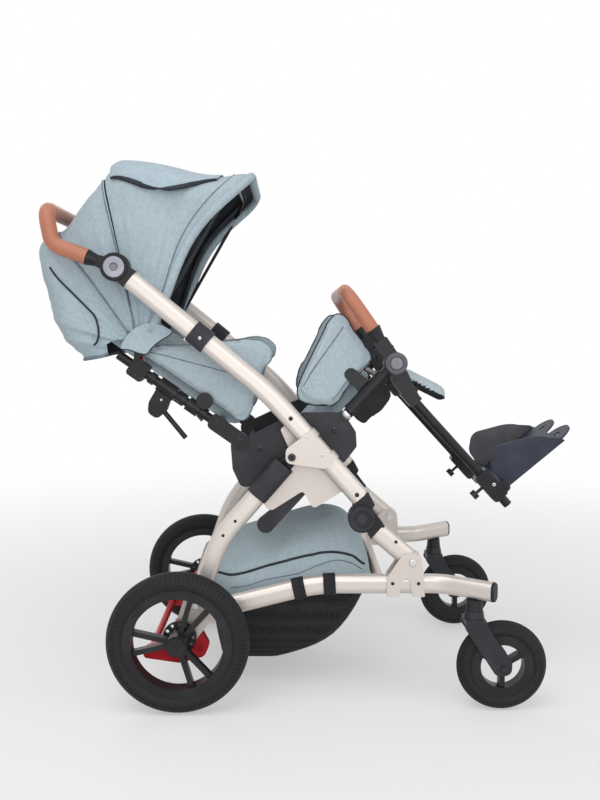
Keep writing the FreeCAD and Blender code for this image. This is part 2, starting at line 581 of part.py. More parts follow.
SEAT_PLATE_Y = 197.5
seat_plate_side = [(213, 588, 6), (246, 512, 10), (172, 434, 10), (190, 408, 12),
                   (262, 454, 8), (284, 415, 8),
                   (300, 424, 4), (362, 462, 4), (250, 612, 8)]
seat_plate = plate(seat_plate_side, SEAT_PLATE_Y, SEAT_PLATE_Y + PLATE)
spacers = []
for distance in (186, 128, 40):
    spot = along(PUSH_END, low_angle, -distance)
    spacers.append(rod(*spot, 7.0, SEAT_PLATE_Y + PLATE - 1, TUBE_FACES[0] - 0.05))
seat_plate = fused([seat_plate] + spacers)
LEVER_PIVOT = (278.0, 470.0)
LEVER_PIN_R = 4.0
LEVER_THICK = 11.0
lever_pin = rod(*LEVER_PIVOT, LEVER_PIN_R, -SEAT_PLATE_Y - 1, -SEAT_PLATE_Y + LEVER_THICK)
keep("seat_plates", seat_plate, fused([mirrored(seat_plate), lever_pin]))
keep("seat_pivot_tube", rod(*TILT_PIVOT, TILT_TUBE_R, -SEAT_PLATE_Y, SEAT_PLATE_Y))

GRIP_FROM, GRIP_LENGTH = 205.0, 42.0
clamp_a = along(HANDLE_PIVOT, push_angle, GRIP_FROM)
clamp_b = along(HANDLE_PIVOT, push_angle, GRIP_FROM + GRIP_LENGTH)
a, b = Vec(clamp_a[0], FRAME_Y, clamp_a[1]), Vec(clamp_b[0], FRAME_Y, clamp_b[1])
clamp_size = 2 * (SEAT_GAP + 4.0)
tube_sleeve = oval_face(a, (b - a).normalize(), Vec(0, 1, 0), TUBE_TALL + clamp_size, TUBE_WIDE + clamp_size,
                        4.0).extrude(b - a)
keep_both("tube_sleeves", tube_sleeve)

# Handle: plugs on the push tubes, hubs on the bar, a leather grip and two buttons
plug_left = along(HANDLE_PIVOT, push_angle, PLUG_REACH, half)
plug_right = along(HANDLE_PIVOT, push_angle, PLUG_REACH, -half)
plug_block = [(*plug_left, 0), (*along(HANDLE_PIVOT, push_angle, 4, 18), 3),
              (*along(HANDLE_PIVOT, push_angle, 4, -18), 3), (*plug_right, 0)]
HANDLE_PIN_R = 5.0
plug = tongue_half(HANDLE_PIVOT, HANDLE_R, plug_block, TONGUE, TUBE_FACES)
BUTTON_R = 7.0
BUTTON_TRAVEL = 3.0
handle_pin = rod(*HANDLE_PIVOT, HANDLE_PIN_R, TUBE_FACES[0], TUBE_FACES[1] - 3)
keep_both("handle_plugs", fused([plug, handle_pin]))
ARM_ANGLE = 160.0
hub_block = [(*along(HANDLE_PIVOT, ARM_ANGLE, 40, 12), 2), (*along(HANDLE_PIVOT, ARM_ANGLE, 40, -12), 2),
             (*along(HANDLE_PIVOT, ARM_ANGLE, 2, -16), 3), (*along(HANDLE_PIVOT, ARM_ANGLE, 2, 16), 3)]
hub = cheek_half(HANDLE_PIVOT, HANDLE_R, hub_block, TONGUE, TUBE_FACES)
hub = hub.cut(rod(*HANDLE_PIVOT, HANDLE_PIN_R + RUNNING_GAP, TUBE_FACES[0] - 1, TUBE_FACES[1] + 1))
hub = hub.cut(rod(*HANDLE_PIVOT, BUTTON_R + RUNNING_GAP, TUBE_FACES[1] - BUTTON_TRAVEL, TUBE_FACES[1] + 1))
cover = ring(*HANDLE_PIVOT, HANDLE_R - 3, BUTTON_R + RUNNING_GAP, TUBE_FACES[1], TUBE_FACES[1] + 4)
keep_both("handle_hubs", fused([hub, cover]))
button = rod(*HANDLE_PIVOT, BUTTON_R, TUBE_FACES[1] + SEAT_GAP, TUBE_FACES[1] + 5.5)
BAR_LOW = along(HANDLE_PIVOT, ARM_ANGLE, 138.4)
BAR_TOP = (-271.0, 1049.0)
BAR_R = 11.0
GRIP_R = 16.5
arm_a = along(HANDLE_PIVOT, ARM_ANGLE, 40.0)
bar_points = [(arm_a[0], FRAME_Y, arm_a[1]), (BAR_LOW[0], FRAME_Y, BAR_LOW[1]),
              (BAR_TOP[0], FRAME_Y, BAR_TOP[1]),
              (BAR_TOP[0], -FRAME_Y, BAR_TOP[1]), (BAR_LOW[0], -FRAME_Y, BAR_LOW[1]),
              (arm_a[0], -FRAME_Y, arm_a[1])]
handle_bar = round_tube(bar_points, 32.0, BAR_R, 2.0)
COLLAR_LENGTH = 22.0
collar_b = along(HANDLE_PIVOT, ARM_ANGLE, 40.0 + COLLAR_LENGTH)
collar_way = Vec(collar_b[0] - arm_a[0], 0, collar_b[1] - arm_a[1])
collar = Part.makeCone(12.0, 17.0, collar_way.Length, Vec(arm_a[0], FRAME_Y, arm_a[1]), collar_way)
collar = collar.cut(bar((arm_a[0], FRAME_Y, arm_a[1]), (collar_b[0], FRAME_Y, collar_b[1]), BAR_R - 0.5))
keep("handle_bar", fused([handle_bar, collar, mirrored(collar)]))
grip_a = along(HANDLE_PIVOT, ARM_ANGLE, 40.0 + COLLAR_LENGTH + SEAT_GAP)
grip_points = [(grip_a[0], FRAME_Y, grip_a[1])] + bar_points[1:5] + [(grip_a[0], -FRAME_Y, grip_a[1])]
keep("handle_grip", round_tube(grip_points, 32.0, GRIP_R, GRIP_R - BAR_R - SEAT_GAP))
keep_pair("handle_button", button)

# Seat unit: shell on the tilt tube, side tubes, cushion and thigh wings

def seat_spot(forward, lift):
    """Side-view point measured along the seat from its tubes' lower end, and square up from them."""
    return along(SEAT_ORIGIN, SEAT_RISE, forward, lift)


def seat_plate_points(spots):
    """Rounded corners given along and above the seat."""
    return [(*seat_spot(u, n), r) for u, n, r in spots]


TUBE_FROM = 2.0             # side tubes stand on the shell's sockets here
shell_side = [(110, 500, 14), (128, 460, 16), (190, 462, 30), (352, 514, 16), (378, 548, 10), (376, 580, 10),
              (*seat_spot(TUBE_FROM, -15), 4), (*seat_spot(TUBE_FROM, 15), 6), (262, 622, 10), (214, 604, 10),
              (146, 572, 6), (*BACK_PIVOT, 10), (106, 556, 8)]
side_plate = plate(shell_side, SHELL_Y, SHELL_Y + SHELL_WALL)
side_plate = fused([side_plate, rod(*BACK_PIVOT, 15.0, SHELL_Y, SHELL_Y + SHELL_WALL)])
pan_low, pan_top = 4.0, 9.0
pan_side = seat_plate_points([(-196, pan_low, 0), (-12, pan_low, 0), (-12, pan_top, 0), (-196, pan_top, 0)])
pan = plate(pan_side, -SHELL_Y - 2, SHELL_Y + 2)
wall_low, wall_top = seat_spot(-196, pan_low), along(BACK_PIVOT, BACK_ANGLE + 180, 18, -6)
rear_wall = plate([(*wall_low, 0), (wall_low[0] + 5, wall_low[1] - 3, 0),
                   (wall_top[0] + 5, wall_top[1] - 2, 0),
                   (*wall_top, 0)], -SHELL_Y - 2, SHELL_Y + 2)
shell = fused([side_plate, mirrored(side_plate), pan, rear_wall])
shell = shell.cut(rod(*TILT_PIVOT, TILT_TUBE_R + RUNNING_GAP, -200, 200))
BACK_PIN_R = 5.0
back_pins = rod(*BACK_PIVOT, BACK_PIN_R, SHELL_Y + 1, SHELL_Y + SHELL_WALL + 6)
shell = fused([shell, back_pins, mirrored(back_pins)])
keep("seat_shell", shell)

KNEE = seat_spot(SEAT_LENGTH, 0)
tube_from, tube_to = seat_spot(TUBE_FROM + 0.1, 0), seat_spot(SEAT_LENGTH - 8, 0)
seat_tube = bar((tube_from[0], SEAT_TUBE_Y, tube_from[1]), (tube_to[0], SEAT_TUBE_Y, tube_to[1]), SEAT_TUBE_R)
pad_from, pad_to = seat_spot(18, 0), seat_spot(SEAT_LENGTH - 36, 0)
sleeve_pad = bar((pad_from[0], SEAT_TUBE_Y, pad_from[1]), (pad_to[0], SEAT_TUBE_Y, pad_to[1]), 16.0)
KNEE_IN, KNEE_OUT = SEAT_TUBE_Y - 11, SEAT_TUBE_Y + 11
KNEE_PIN_R = 6.0
knee = fused([rod(*KNEE, KNEE_R, KNEE_IN, KNEE_OUT), rod(*KNEE, KNEE_PIN_R, KNEE_IN - 25, KNEE_OUT + 20)])
front_rod = rod(*seat_spot(118, 0), 7.0, -KNEE_IN, KNEE_IN)
wing_lug_side = seat_plate_points([(62, 3, 0), (96, 3, 0), (92, 66, 14), (66, 66, 12)])
wing_lug = plate(wing_lug_side, WING_OUTER + SEAT_GAP, WING_OUTER + SEAT_GAP + PLATE)
side_tube = fused([seat_tube, sleeve_pad, knee, wing_lug])
keep("seat_tubes", fused([side_tube, mirrored(side_tube), front_rod]))

def pillow(length, half_width, low, top, crown, place):
    """Cushion: crowned top, sides drawn in between its corners, carried to its place."""
    sections = []
    shares = (0.0, 0.08, 0.5, 0.92, 1.0)
    waist = (0.96, 1.0, 0.97, 1.0, 0.96)
    height = (0.62, 0.94, 1.0, 0.94, 0.62)
    for share, wide, tall in zip(shares, waist, height):
        w = half_width * wide
        edge = low + (top - low) * 0.55 * tall
        peak = low + (top - low) * tall
        side = low + (edge - low) * 0.5
        bulge = 4.0
        sections.append(Part.Wire([
            Part.LineSegment(Vec(-w + 6, share * length, low), Vec(w - 6, share * length, low)).toShape(),
            Part.Arc(Vec(w - 6, share * length, low), Vec(w - 6 + bulge, share * length, side),
                     Vec(w - 6, share * length, edge)).toShape(),
            Part.Arc(Vec(w - 6, share * length, edge), Vec(0, share * length, peak + crown * tall),
                     Vec(-w + 6, share * length, edge)).toShape(),
            Part.Arc(Vec(-w + 6, share * length, edge), Vec(-w + 6 - bulge, share * length, side),
                     Vec(-w + 6, share * length, low)).toShape()]))
    solid = Part.makeLoft(sections, True, False)
    solid.transformShape(place)
    return solid


def lying(origin, degrees, face=1):
    """Placement of a cushion drawn flat, length along y, so that it runs along a side-view direction."""
    c, s = unit(degrees)
    way, up = Vec(c, 0, s), Vec(-s, 0, c) * face
    across = way.cross(up)
    return FreeCAD.Matrix(across.x, way.x, up.x, origin[0], across.y, way.y, up.y, 0,
                          across.z, way.z, up.z, origin[1], 0, 0, 0, 1)


seat_from = seat_spot(-150, 0)
keep("seat_cushion", pillow(268.0, SEAT_HALF, pan_top + SEAT_GAP, 46.0, 8.0, lying(seat_from, SEAT_RISE)))

def wing_pad(corners, outer, thick, swell):
    """Upright side pad with swollen faces: loft of a smaller, a full and a smaller outline."""
    middle = Vec(sum(c[0] for c in corners) / len(corners), 0, sum(c[1] for c in corners) / len(corners))
    layers = []
    for share, grow in ((0.0, -swell), (0.28, 0.0), (0.72, 0.0), (1.0, -swell)):
        points = []
        for x, z, r in corners:
            arm = Vec(x, 0, z) - middle
            moved = middle + arm * ((arm.Length + grow) / arm.Length)
            points.append((moved.x, moved.z, r))
        wire = outline(points)
        wire.translate(Vec(0, outer - thick + thick * share, 0))
        layers.append(wire)
    return Part.makeLoft(layers, True, True)


seat_wing_side = seat_plate_points([(-48, 92, 24), (-20, 40, 20), (6, 22, 8), (60, 24, 20), (142, 30, 14),
                                    (160, 70, 30), (172, 150, 14), (160, 172, 12), (100, 168, 60),
                                    (4, 140, 40)])
keep_both("seat_wings", wing_pad(seat_wing_side, WING_OUTER, WING_THICK, 9.0))

# Tilt lever under the seat, on a pin of the right seat plate
LEVER_END = (181.0, 379.0)
lever_way = math.degrees(math.atan2(LEVER_END[1] - LEVER_PIVOT[1], LEVER_END[0] - LEVER_PIVOT[0]))
LEVER_Y0, LEVER_Y1 = -SEAT_PLATE_Y + SEAT_GAP, -SEAT_PLATE_Y + LEVER_THICK
lever_length = math.hypot(LEVER_END[0] - LEVER_PIVOT[0], LEVER_END[1] - LEVER_PIVOT[1])
lever_side = [(*along(LEVER_PIVOT, lever_way, -8, 8), 6), (*along(LEVER_PIVOT, lever_way, -8, -8), 6),
              (*along(LEVER_PIVOT, lever_way, lever_length + 18, -20), 18),
              (*along(LEVER_PIVOT, lever_way, lever_length + 18, 20), 18)]
tilt_lever = plate(lever_side, LEVER_Y0, LEVER_Y1)
keep("tilt_lever", tilt_lever.cut(rod(*LEVER_PIVOT, LEVER_PIN_R + RUNNING_GAP, -220, -150)))

# Back rest: two tubes on hinge plates, with the canopy clamps, knob and release paddle

def back_spot(up, lift):
    """Side-view point measured up the back from its hinge, and square forward from its tubes."""
    return along(BACK_PIVOT, BACK_ANGLE, up, -lift)


BACK_TUBE_Y = 180.0
RELEASE_R = 5.5             # release lever below the paddle
BACK_KNOB_R = 18.0
PLATE_Y0 = SHELL_Y + SHELL_WALL + SEAT_GAP
back_plate_side = [(*back_spot(-17, 17), 15), (*back_spot(-17, -17), 15),
                   (*back_spot(78, -17), 12), (*back_spot(78, 17), 6)]
back_plate = plate(back_plate_side, PLATE_Y0, PLATE_Y0 + 5)
back_plate = back_plate.cut(rod(*BACK_PIVOT, BACK_PIN_R + RUNNING_GAP, 150, 210))
saddle_side = [(*back_spot(44, 15), 3), (*back_spot(44, -15), 3),
               (*back_spot(76, -15), 3), (*back_spot(76, 15), 3)]
saddle = plate(saddle_side, BACK_TUBE_Y - 13, PLATE_Y0 + 1)
tube_a, tube_b = back_spot(46, 0), back_spot(BACK_TUBE_LENGTH, 0)
back_tube = bar((tube_a[0], BACK_TUBE_Y, tube_a[1]), (tube_b[0], BACK_TUBE_Y, tube_b[1]), BACK_TUBE_R)
fittings = [back_plate, saddle, back_tube]
BACK_COLLARS = ((90, 14, 14.0), (108, 30, 15.5), (144, 12, 14.0), (168, 44, 16.0), (222, 14, 13.5))
for start, length, radius in BACK_COLLARS:
    p, q = back_spot(start, 0), back_spot(start + length, 0)
    fittings.append(bar((p[0], BACK_TUBE_Y, p[1]), (q[0], BACK_TUBE_Y, q[1]), radius))
block_side = [(*back_spot(244, 18), 5), (*back_spot(244, -22), 8),
              (*back_spot(284, -22), 8), (*back_spot(284, 18), 5)]
fittings.append(plate(block_side, BACK_TUBE_Y - 15, BACK_TUBE_Y + 15))
paddle_side = [(*back_spot(172, -10), 4), (*back_spot(164, -40), 20), (*back_spot(172, -66), 12),
               (*back_spot(196, -66), 14), (*back_spot(207, -46), 20), (*back_spot(210, -10), 4)]
fittings.append(plate(paddle_side, BACK_TUBE_Y - 6, BACK_TUBE_Y + 8))
release_a, release_b = back_spot(172, -44), back_spot(98, -65)
release = bar((release_a[0], BACK_TUBE_Y, release_a[1]), (release_b[0], BACK_TUBE_Y, release_b[1]), RELEASE_R)
fittings.append(release)
fittings.append(rod(*back_spot(110, 25), BACK_KNOB_R, WING_OUTER + SEAT_GAP, BACK_TUBE_Y + 13))
BOW_PIN_R = 4.0
BOW_LUG_Y = 188.0
bow_lug_side = [(*back_spot(256, 0), 0), (*back_spot(278, 0), 0),
                (CANOPY_PIVOT[0] - 9, CANOPY_PIVOT[1] + 8, 7),
                (CANOPY_PIVOT[0] + 9, CANOPY_PIVOT[1] + 8, 7)]
fittings.append(plate(bow_lug_side, BOW_LUG_Y, BOW_LUG_Y + 6))
fittings.append(rod(*CANOPY_PIVOT, BOW_PIN_R, BOW_LUG_Y - 9, BOW_LUG_Y + 1))
half_back = fused(fittings)
cross_low, cross_high = back_spot(60, 0), back_spot(264, 0)
back_bars = [rod(*cross_low, 8.0, -BACK_TUBE_Y, BACK_TUBE_Y),
             rod(*cross_high, 8.0, -BACK_TUBE_Y, BACK_TUBE_Y)]
keep("back_frame", fused([half_back, mirrored(half_back)] + back_bars))
BACK_CLEAR = 8.3            # cushion in front of the cross bars
back_from = back_spot(10, 0)
BACK_THICK = 69.7
back_place = lying(back_from, BACK_ANGLE, -1)
back_cushion = pillow(430.0, SEAT_HALF, BACK_CLEAR, BACK_CLEAR + BACK_THICK, 10.0, back_place)
keep("back_cushion", back_cushion)
back_wing_side = [(*back_spot(12, 26), 14), (*back_spot(6, 70), 20), (*back_spot(36, 150), 20),
                  (*back_spot(38, 196), 24), (*back_spot(96, 214), 30), (*back_spot(262, 74), 30),
                  (*back_spot(300, 24), 14)]
keep_both("back_wings", wing_pad(back_wing_side, WING_OUTER, WING_THICK, 9.0))

# Grab bar: clamps on the knee hubs and a leather-covered hoop
GRAB_Y = KNEE_OUT + 12.5
GRAB_BLOCK = 14.5           # half width of the clamp block above the knee
GRAB_NECK = 10.5            # neck of the collar under the leather
grab_clamp_a, grab_clamp_b = along(KNEE, GRAB_RISE, 56), along(KNEE, GRAB_RISE, 88)
grab_eye = rod(*KNEE, KNEE_R - 1, KNEE_OUT + SEAT_GAP, KNEE_OUT + 18)
grab_block_side = [(*along(KNEE, GRAB_RISE, 19, GRAB_BLOCK), 2), (*along(KNEE, GRAB_RISE, 19, -GRAB_BLOCK), 2),
                   (*along(KNEE, GRAB_RISE, 60, -GRAB_BLOCK), 3),
                   (*along(KNEE, GRAB_RISE, 60, GRAB_BLOCK), 3)]
grab_block = plate(grab_block_side, GRAB_Y - 11, GRAB_Y + 11)
collar_run = Vec(grab_clamp_b[0] - grab_clamp_a[0], 0, grab_clamp_b[1] - grab_clamp_a[1])
grab_collar = Part.makeCone(GRAB_NECK, GRAB_R + 3, collar_run.Length,
                            Vec(grab_clamp_a[0], GRAB_Y, grab_clamp_a[1]), collar_run)
grab_clamp = fused([grab_eye, grab_block, grab_collar])
grab_clamp = grab_clamp.cut(rod(*KNEE, KNEE_PIN_R + RUNNING_GAP, KNEE_OUT - 2, KNEE_OUT + 30))
grab_end = along(KNEE, GRAB_RISE, GRAB_REACH)
hoop = [(grab_clamp_b[0], GRAB_Y, grab_clamp_b[1]), (grab_end[0], GRAB_Y, grab_end[1]),
        (grab_end[0], -GRAB_Y, grab_end[1]), (grab_clamp_b[0], -GRAB_Y, grab_clamp_b[1])]
keep_both("grab_clamps", grab_clamp)
keep("grab_bar", round_tube(hoop, 50.0, GRAB_R))

# Leg rest: lugs on the knee pins, two tubes, a calf pad, then the sliding foot bracket and foot plate

def leg_spot(down, lift):
    """Side-view point measured down the leg tubes from beside the knee, and square forward-up from them."""
    return along(KNEE, LEG_ANGLE, down, lift - LEG_DROP)


LUG_Y1 = KNEE_IN - SEAT_GAP
lug_side = [(*leg_spot(-20, LEG_DROP + 18), 18), (*leg_spot(-20, LEG_DROP - 20), 18),
            (*leg_spot(34, -12), 20),
            (*leg_spot(92, -16), 4), (*leg_spot(92, 12), 4), (*leg_spot(34, LEG_DROP + 8), 20)]
LEG_LIFT = -2.0
lug = plate(lug_side, LUG_Y1 - 12, LUG_Y1).cut(rod(*KNEE, KNEE_PIN_R + RUNNING_GAP, 100, 200))
LEG_BLOCK = [(*leg_spot(62, 13), 4), (*leg_spot(62, -17), 4),
             (*leg_spot(100, -17), 4), (*leg_spot(100, 13), 4)]
leg_block = plate(LEG_BLOCK, LEG_TUBE_Y - 14, LUG_Y1)
leg_a, leg_b = leg_spot(70, LEG_LIFT), leg_spot(70 + LEG_TUBE_LENGTH, LEG_LIFT)
leg_tube = bar((leg_a[0], LEG_TUBE_Y, leg_a[1]), (leg_b[0], LEG_TUBE_Y, leg_b[1]), LEG_TUBE_R)
leg_half = fused([lug, leg_block, leg_tube])
CALF_ANGLE = LEG_ANGLE + 21.0
CALF_ROD_R = 8.0
calf_from = leg_spot(46, 11)
calf_rod = rod(*along(calf_from, CALF_ANGLE, 30, -CALF_ROD_R - SEAT_GAP), CALF_ROD_R, -LEG_TUBE_Y, LEG_TUBE_Y)
keep("legrest_frame", fused([leg_half, mirrored(leg_half), calf_rod]))
keep("calf_pad", pillow(112.0, 118.0, 0.0, 20.0, 7.0, lying(calf_from, CALF_ANGLE)))

SLIDE_GAP = 0.08
foot_block_side = [(*leg_spot(FOOT_ALONG + 26, 16), 5), (*leg_spot(FOOT_ALONG + 26, -20), 8),
                   (*leg_spot(FOOT_ALONG + 100, -20), 8), (*leg_spot(FOOT_ALONG + 100, 16), 5)]
foot_block = plate(foot_block_side, LEG_TUBE_Y - 16, LEG_TUBE_Y + 14)
slide_a, slide_b = leg_spot(200, LEG_LIFT), leg_spot(500, LEG_LIFT)
foot_block = foot_block.cut(bar((slide_a[0], LEG_TUBE_Y, slide_a[1]), (slide_b[0], LEG_TUBE_Y, slide_b[1]),
                                LEG_TUBE_R + SLIDE_GAP))
FOOT_PIVOT = leg_spot(FOOT_ALONG + 88, 17)
FOOT_PIN_R = 6.0
ear_side = [(*leg_spot(FOOT_ALONG + 70, 14), 0), (*leg_spot(FOOT_ALONG + 100, 14), 0),
            (*leg_spot(FOOT_ALONG + 100, 30), 9), (*leg_spot(FOOT_ALONG + 74, 30), 9)]
ear = plate(ear_side, LEG_TUBE_Y - 10, LEG_TUBE_Y + 2)
knob_a, knob_b = leg_spot(FOOT_ALONG + 56, -19), leg_spot(FOOT_ALONG + 56, -36)
knob_c = leg_spot(FOOT_ALONG + 56, -48)
knob = fused([bar((knob_a[0], LEG_TUBE_Y, knob_a[1]), (knob_b[0], LEG_TUBE_Y, knob_b[1]), 3.5),
              bar((knob_b[0], LEG_TUBE_Y, knob_b[1]), (knob_c[0], LEG_TUBE_Y, knob_c[1]), 10.0)])
foot_half = fused([foot_block, ear, knob])
foot_rod = rod(*FOOT_PIVOT, FOOT_PIN_R, -LEG_TUBE_Y, LEG_TUBE_Y)
keep("foot_bracket", fused([foot_half, mirrored(foot_half), foot_rod]))

def foot_spot(forward, lift):
    """Side-view point measured along the foot plate from its pivot, and square up from it."""
    return along(FOOT_PIVOT, FOOT_RISE, forward, lift)


SOLE = -12.0                # underside of the sole below the pivot
sole = plate([(*foot_spot(0, SOLE), 0), (*foot_spot(FOOT_LENGTH, SOLE), 0),
              (*foot_spot(FOOT_LENGTH, SOLE + 4), 0),
              (*foot_spot(0, SOLE + 4), 0)], -FOOT_HALF, FOOT_HALF)
foot_side = [(*foot_spot(2, SOLE), 6), (*foot_spot(FOOT_LENGTH - 4, SOLE), 3),
             (*foot_spot(FOOT_LENGTH - 2, SOLE + 9), 4), (*foot_spot(124, SOLE + 52), 120),
             (*foot_spot(44, SOLE + 90), 26), (*foot_spot(10, SOLE + 60), 30)]
foot_wall = plate(foot_side, FOOT_HALF - FOOT_WALL, FOOT_HALF)
LOBE_R = 48.0
LOBE_Y = 60.0
HOLE_R = 8.0
lobes = []
for side in (-1, 1):
    centre = foot_spot(FOOT_LENGTH - 10, SOLE)
    normal = foot_spot(FOOT_LENGTH - 10, SOLE + 1)
    up = Vec(normal[0] - centre[0], 0, normal[1] - centre[1])
    lobe = Part.makeCylinder(LOBE_R, 4, Vec(centre[0], side * LOBE_Y, centre[1]), up)
    lobes.append(lobe)
foot_tube = ring(*FOOT_PIVOT, 12.0, FOOT_PIN_R + RUNNING_GAP, -FOOT_HALF + 6, FOOT_HALF - 6)
footplate = fused([sole, foot_wall, mirrored(foot_wall), foot_tube] + lobes)
footplate = footplate.cut(rod(*FOOT_PIVOT, FOOT_PIN_R + RUNNING_GAP, -200, 200))
for side in (-1, 1):
    low = foot_spot(FOOT_LENGTH + 6, SOLE - 10)
    high = foot_spot(FOOT_LENGTH + 6, SOLE + 20)
    hole = bar((low[0], side * LOBE_Y, low[1]), (high[0], side * LOBE_Y, high[1]), HOLE_R)
    footplate = footplate.cut(hole)
keep("footplate", footplate)

# Canopy: cloth over bows that fan out from the back rest, the front panel on the turning front bow

def bow(degrees, reach, half, shoulder, root):
    """Closed outline of the cloth over one bow, in the plane that fans out at this angle."""
    c, s = unit(degrees)

    def spot(distance, y):
        return Vec(CANOPY_PIVOT[0] + c * distance, y, CANOPY_PIVOT[1] + s * distance)

    inner = CANOPY_CLOTH
    edges = []
    for side_half, top, corner in ((half, reach, shoulder), (half - inner, reach - inner, shoulder - inner)):
        left = [spot(root, side_half), spot(top - corner, side_half)]
        bulge = corner * (1 - math.sqrt(0.5))
        edges.append((Part.LineSegment(*left).toShape(),
                      Part.Arc(left[1], spot(top - bulge, side_half - bulge),
                               spot(top, side_half - corner)).toShape(),
                      Part.LineSegment(spot(top, side_half - corner),
                                       spot(top, -side_half + corner)).toShape(),
                      Part.Arc(spot(top, -side_half + corner), spot(top - bulge, -side_half + bulge),
                               spot(top - corner, -side_half)).toShape(),
                      Part.LineSegment(spot(top - corner, -side_half), spot(root, -side_half)).toShape()))
    outer_run, inner_run = edges
    foot_right = Part.LineSegment(spot(root, -half), spot(root, -half + inner)).toShape()
    foot_left = Part.LineSegment(spot(root, half - inner), spot(root, half)).toShape()
    return Part.Wire(Part.__sortEdges__(list(outer_run) + [foot_right] + list(inner_run) + [foot_left]))


REAR_BOWS = ((102.0, 372.0), (112.0, 334.0), (124.0, 310.0), (134.0, 318.0), (139.0, 300.0), (148.0, 246.0),
             (164.0, 196.0), (178.0, 162.0), (192.0, 132.0))
FRONT_BOWS = ((101.4, 372.0), (96.0, 396.0), (84.0, 388.0), (72.0, 386.0), (63.0, 408.0),
              (58.0, 438.0), (55.0, 424.0))
BOW_ROOT = 70.0
SHOULDER = 55.0
rear_wires = [bow(a, r, CANOPY_HALF, SHOULDER, BOW_ROOT) for a, r in REAR_BOWS]
keep("canopy_shell", Part.makeLoft(rear_wires, True, True))
front_wires = [bow(a, r, CANOPY_HALF, SHOULDER, BOW_ROOT) for a, r in FRONT_BOWS]
keep("canopy_front", Part.makeLoft(front_wires, True, True))
BOW_ANGLE = 60.0
BOW_R = 4.0
bow_reach = 408.0
bow_wire_y = CANOPY_HALF - CANOPY_CLOTH - SEAT_GAP - BOW_R
bow_low, bow_high = along(CANOPY_PIVOT, BOW_ANGLE, 14), along(CANOPY_PIVOT, BOW_ANGLE, bow_reach)
bow_points = [(bow_low[0], bow_wire_y, bow_low[1]), (bow_high[0], bow_wire_y, bow_high[1]),
              (bow_high[0], -bow_wire_y, bow_high[1]), (bow_low[0], -bow_wire_y, bow_low[1])]
bow_hub = rod(*CANOPY_PIVOT, 16.0, bow_wire_y - BOW_R - 1, bow_wire_y + BOW_R + 0.1)
front_bow = fused([round_tube(bow_points, 48.0, BOW_R), bow_hub, mirrored(bow_hub)])
keep("canopy_bow", front_bow.cut(rod(*CANOPY_PIVOT, BOW_PIN_R + RUNNING_GAP, -200, 200)))

# Basket between the rails: mesh tub, zipped dome cover and webbing loops

def basket_ring(rear, front, half, z, corner):
    """Rounded rectangle at one height."""
    wire = outline([(rear, -half, corner), (front, -half, corner),
                    (front, half, corner), (rear, half, corner)])
    wire.rotate(Vec(0, 0, 0), Vec(1, 0, 0), -90)
    wire.translate(Vec(0, 0, z))
    return wire


def tub(shrink):
    """Tub from its floor to its rim."""
    return Part.makeLoft([
        basket_ring(80 + shrink, 224 - shrink, BASKET_HALF - 34 - shrink, BASKET_FLOOR + shrink, 30),
        basket_ring(76 + shrink, 304 - shrink, BASKET_HALF - 24 - shrink, BASKET_FLOOR + 30 + shrink, 30),
        basket_ring(64 + shrink, 366 - shrink, BASKET_HALF - 12 - shrink, BASKET_FLOOR + 88, 30),
        basket_ring(54 + shrink, 399 - shrink, BASKET_HALF - 5 - shrink, BASKET_FLOOR + 150, 30),
        basket_ring(46 + shrink, 408 - shrink, BASKET_HALF - shrink, BASKET_TOP, 30)], True, True)


TUB_WALL = 3.0
keep("basket_tub", tub(0.0).cut(tub(TUB_WALL)))
COVER_LOW = BASKET_TOP + SEAT_GAP
COVER_RISE = ((46.0, 20.0), (90.0, 64.0), (180.0, 94.0), (300.0, COVER_TOP - COVER_LOW),
              (366.0, 96.0), (414.0, 24.0))
arches = []
for x, rise in COVER_RISE:
    arches.append(Part.Wire([
        Part.LineSegment(Vec(x, -BASKET_HALF, COVER_LOW), Vec(x, BASKET_HALF, COVER_LOW)).toShape(),
        Part.Arc(Vec(x, BASKET_HALF, COVER_LOW), Vec(x, BASKET_HALF * 0.8, COVER_LOW + rise * 0.72),
                 Vec(x, BASKET_HALF * 0.3, COVER_LOW + rise)).toShape(),
        Part.LineSegment(Vec(x, BASKET_HALF * 0.3, COVER_LOW + rise),
                         Vec(x, -BASKET_HALF * 0.3, COVER_LOW + rise)).toShape(),
        Part.Arc(Vec(x, -BASKET_HALF * 0.3, COVER_LOW + rise),
                 Vec(x, -BASKET_HALF * 0.8, COVER_LOW + rise * 0.72),
                 Vec(x, -BASKET_HALF, COVER_LOW)).toShape()]))
keep("basket_cover", Part.makeLoft(arches, True, True))
STRAP_WIDE = 26.0
STRAP_THICK = 3.0
strap_grown = 2 * (SEAT_GAP + STRAP_THICK)
strap_way = oval_tube([(RAIL_REAR_X, FRAME_Y, rail_rear_z), (RAIL_BEND_X, FRAME_Y, RAIL_Z),
                       (rail_middle_x, FRAME_Y, RAIL_Z)], RAIL_BEND_R, TUBE_TALL + strap_grown,
                      TUBE_WIDE + strap_grown, STRAP_THICK)
TAB_Z = 248.0               # webbing from each loop to the tub, just under its rim
TAB_FROM = 160.0
TAB_REACH = FRAME_Y - TUBE_WIDE / 2 - SEAT_GAP - 1 - TAB_FROM
TAB_GAP = 0.1
straps = []
for x in (253.0, 318.0):
    slab = Part.makeBox(STRAP_WIDE, 100, 200, Vec(x - STRAP_WIDE / 2, FRAME_Y - 50, RAIL_Z - 100))
    tab = Part.makeBox(STRAP_WIDE, TAB_REACH, STRAP_THICK, Vec(x - STRAP_WIDE / 2, TAB_FROM, TAB_Z))
    straps.append(fused([strap_way.common(slab), tab.cut(tub(-TAB_GAP))]))
keep_both("basket_straps", *straps)

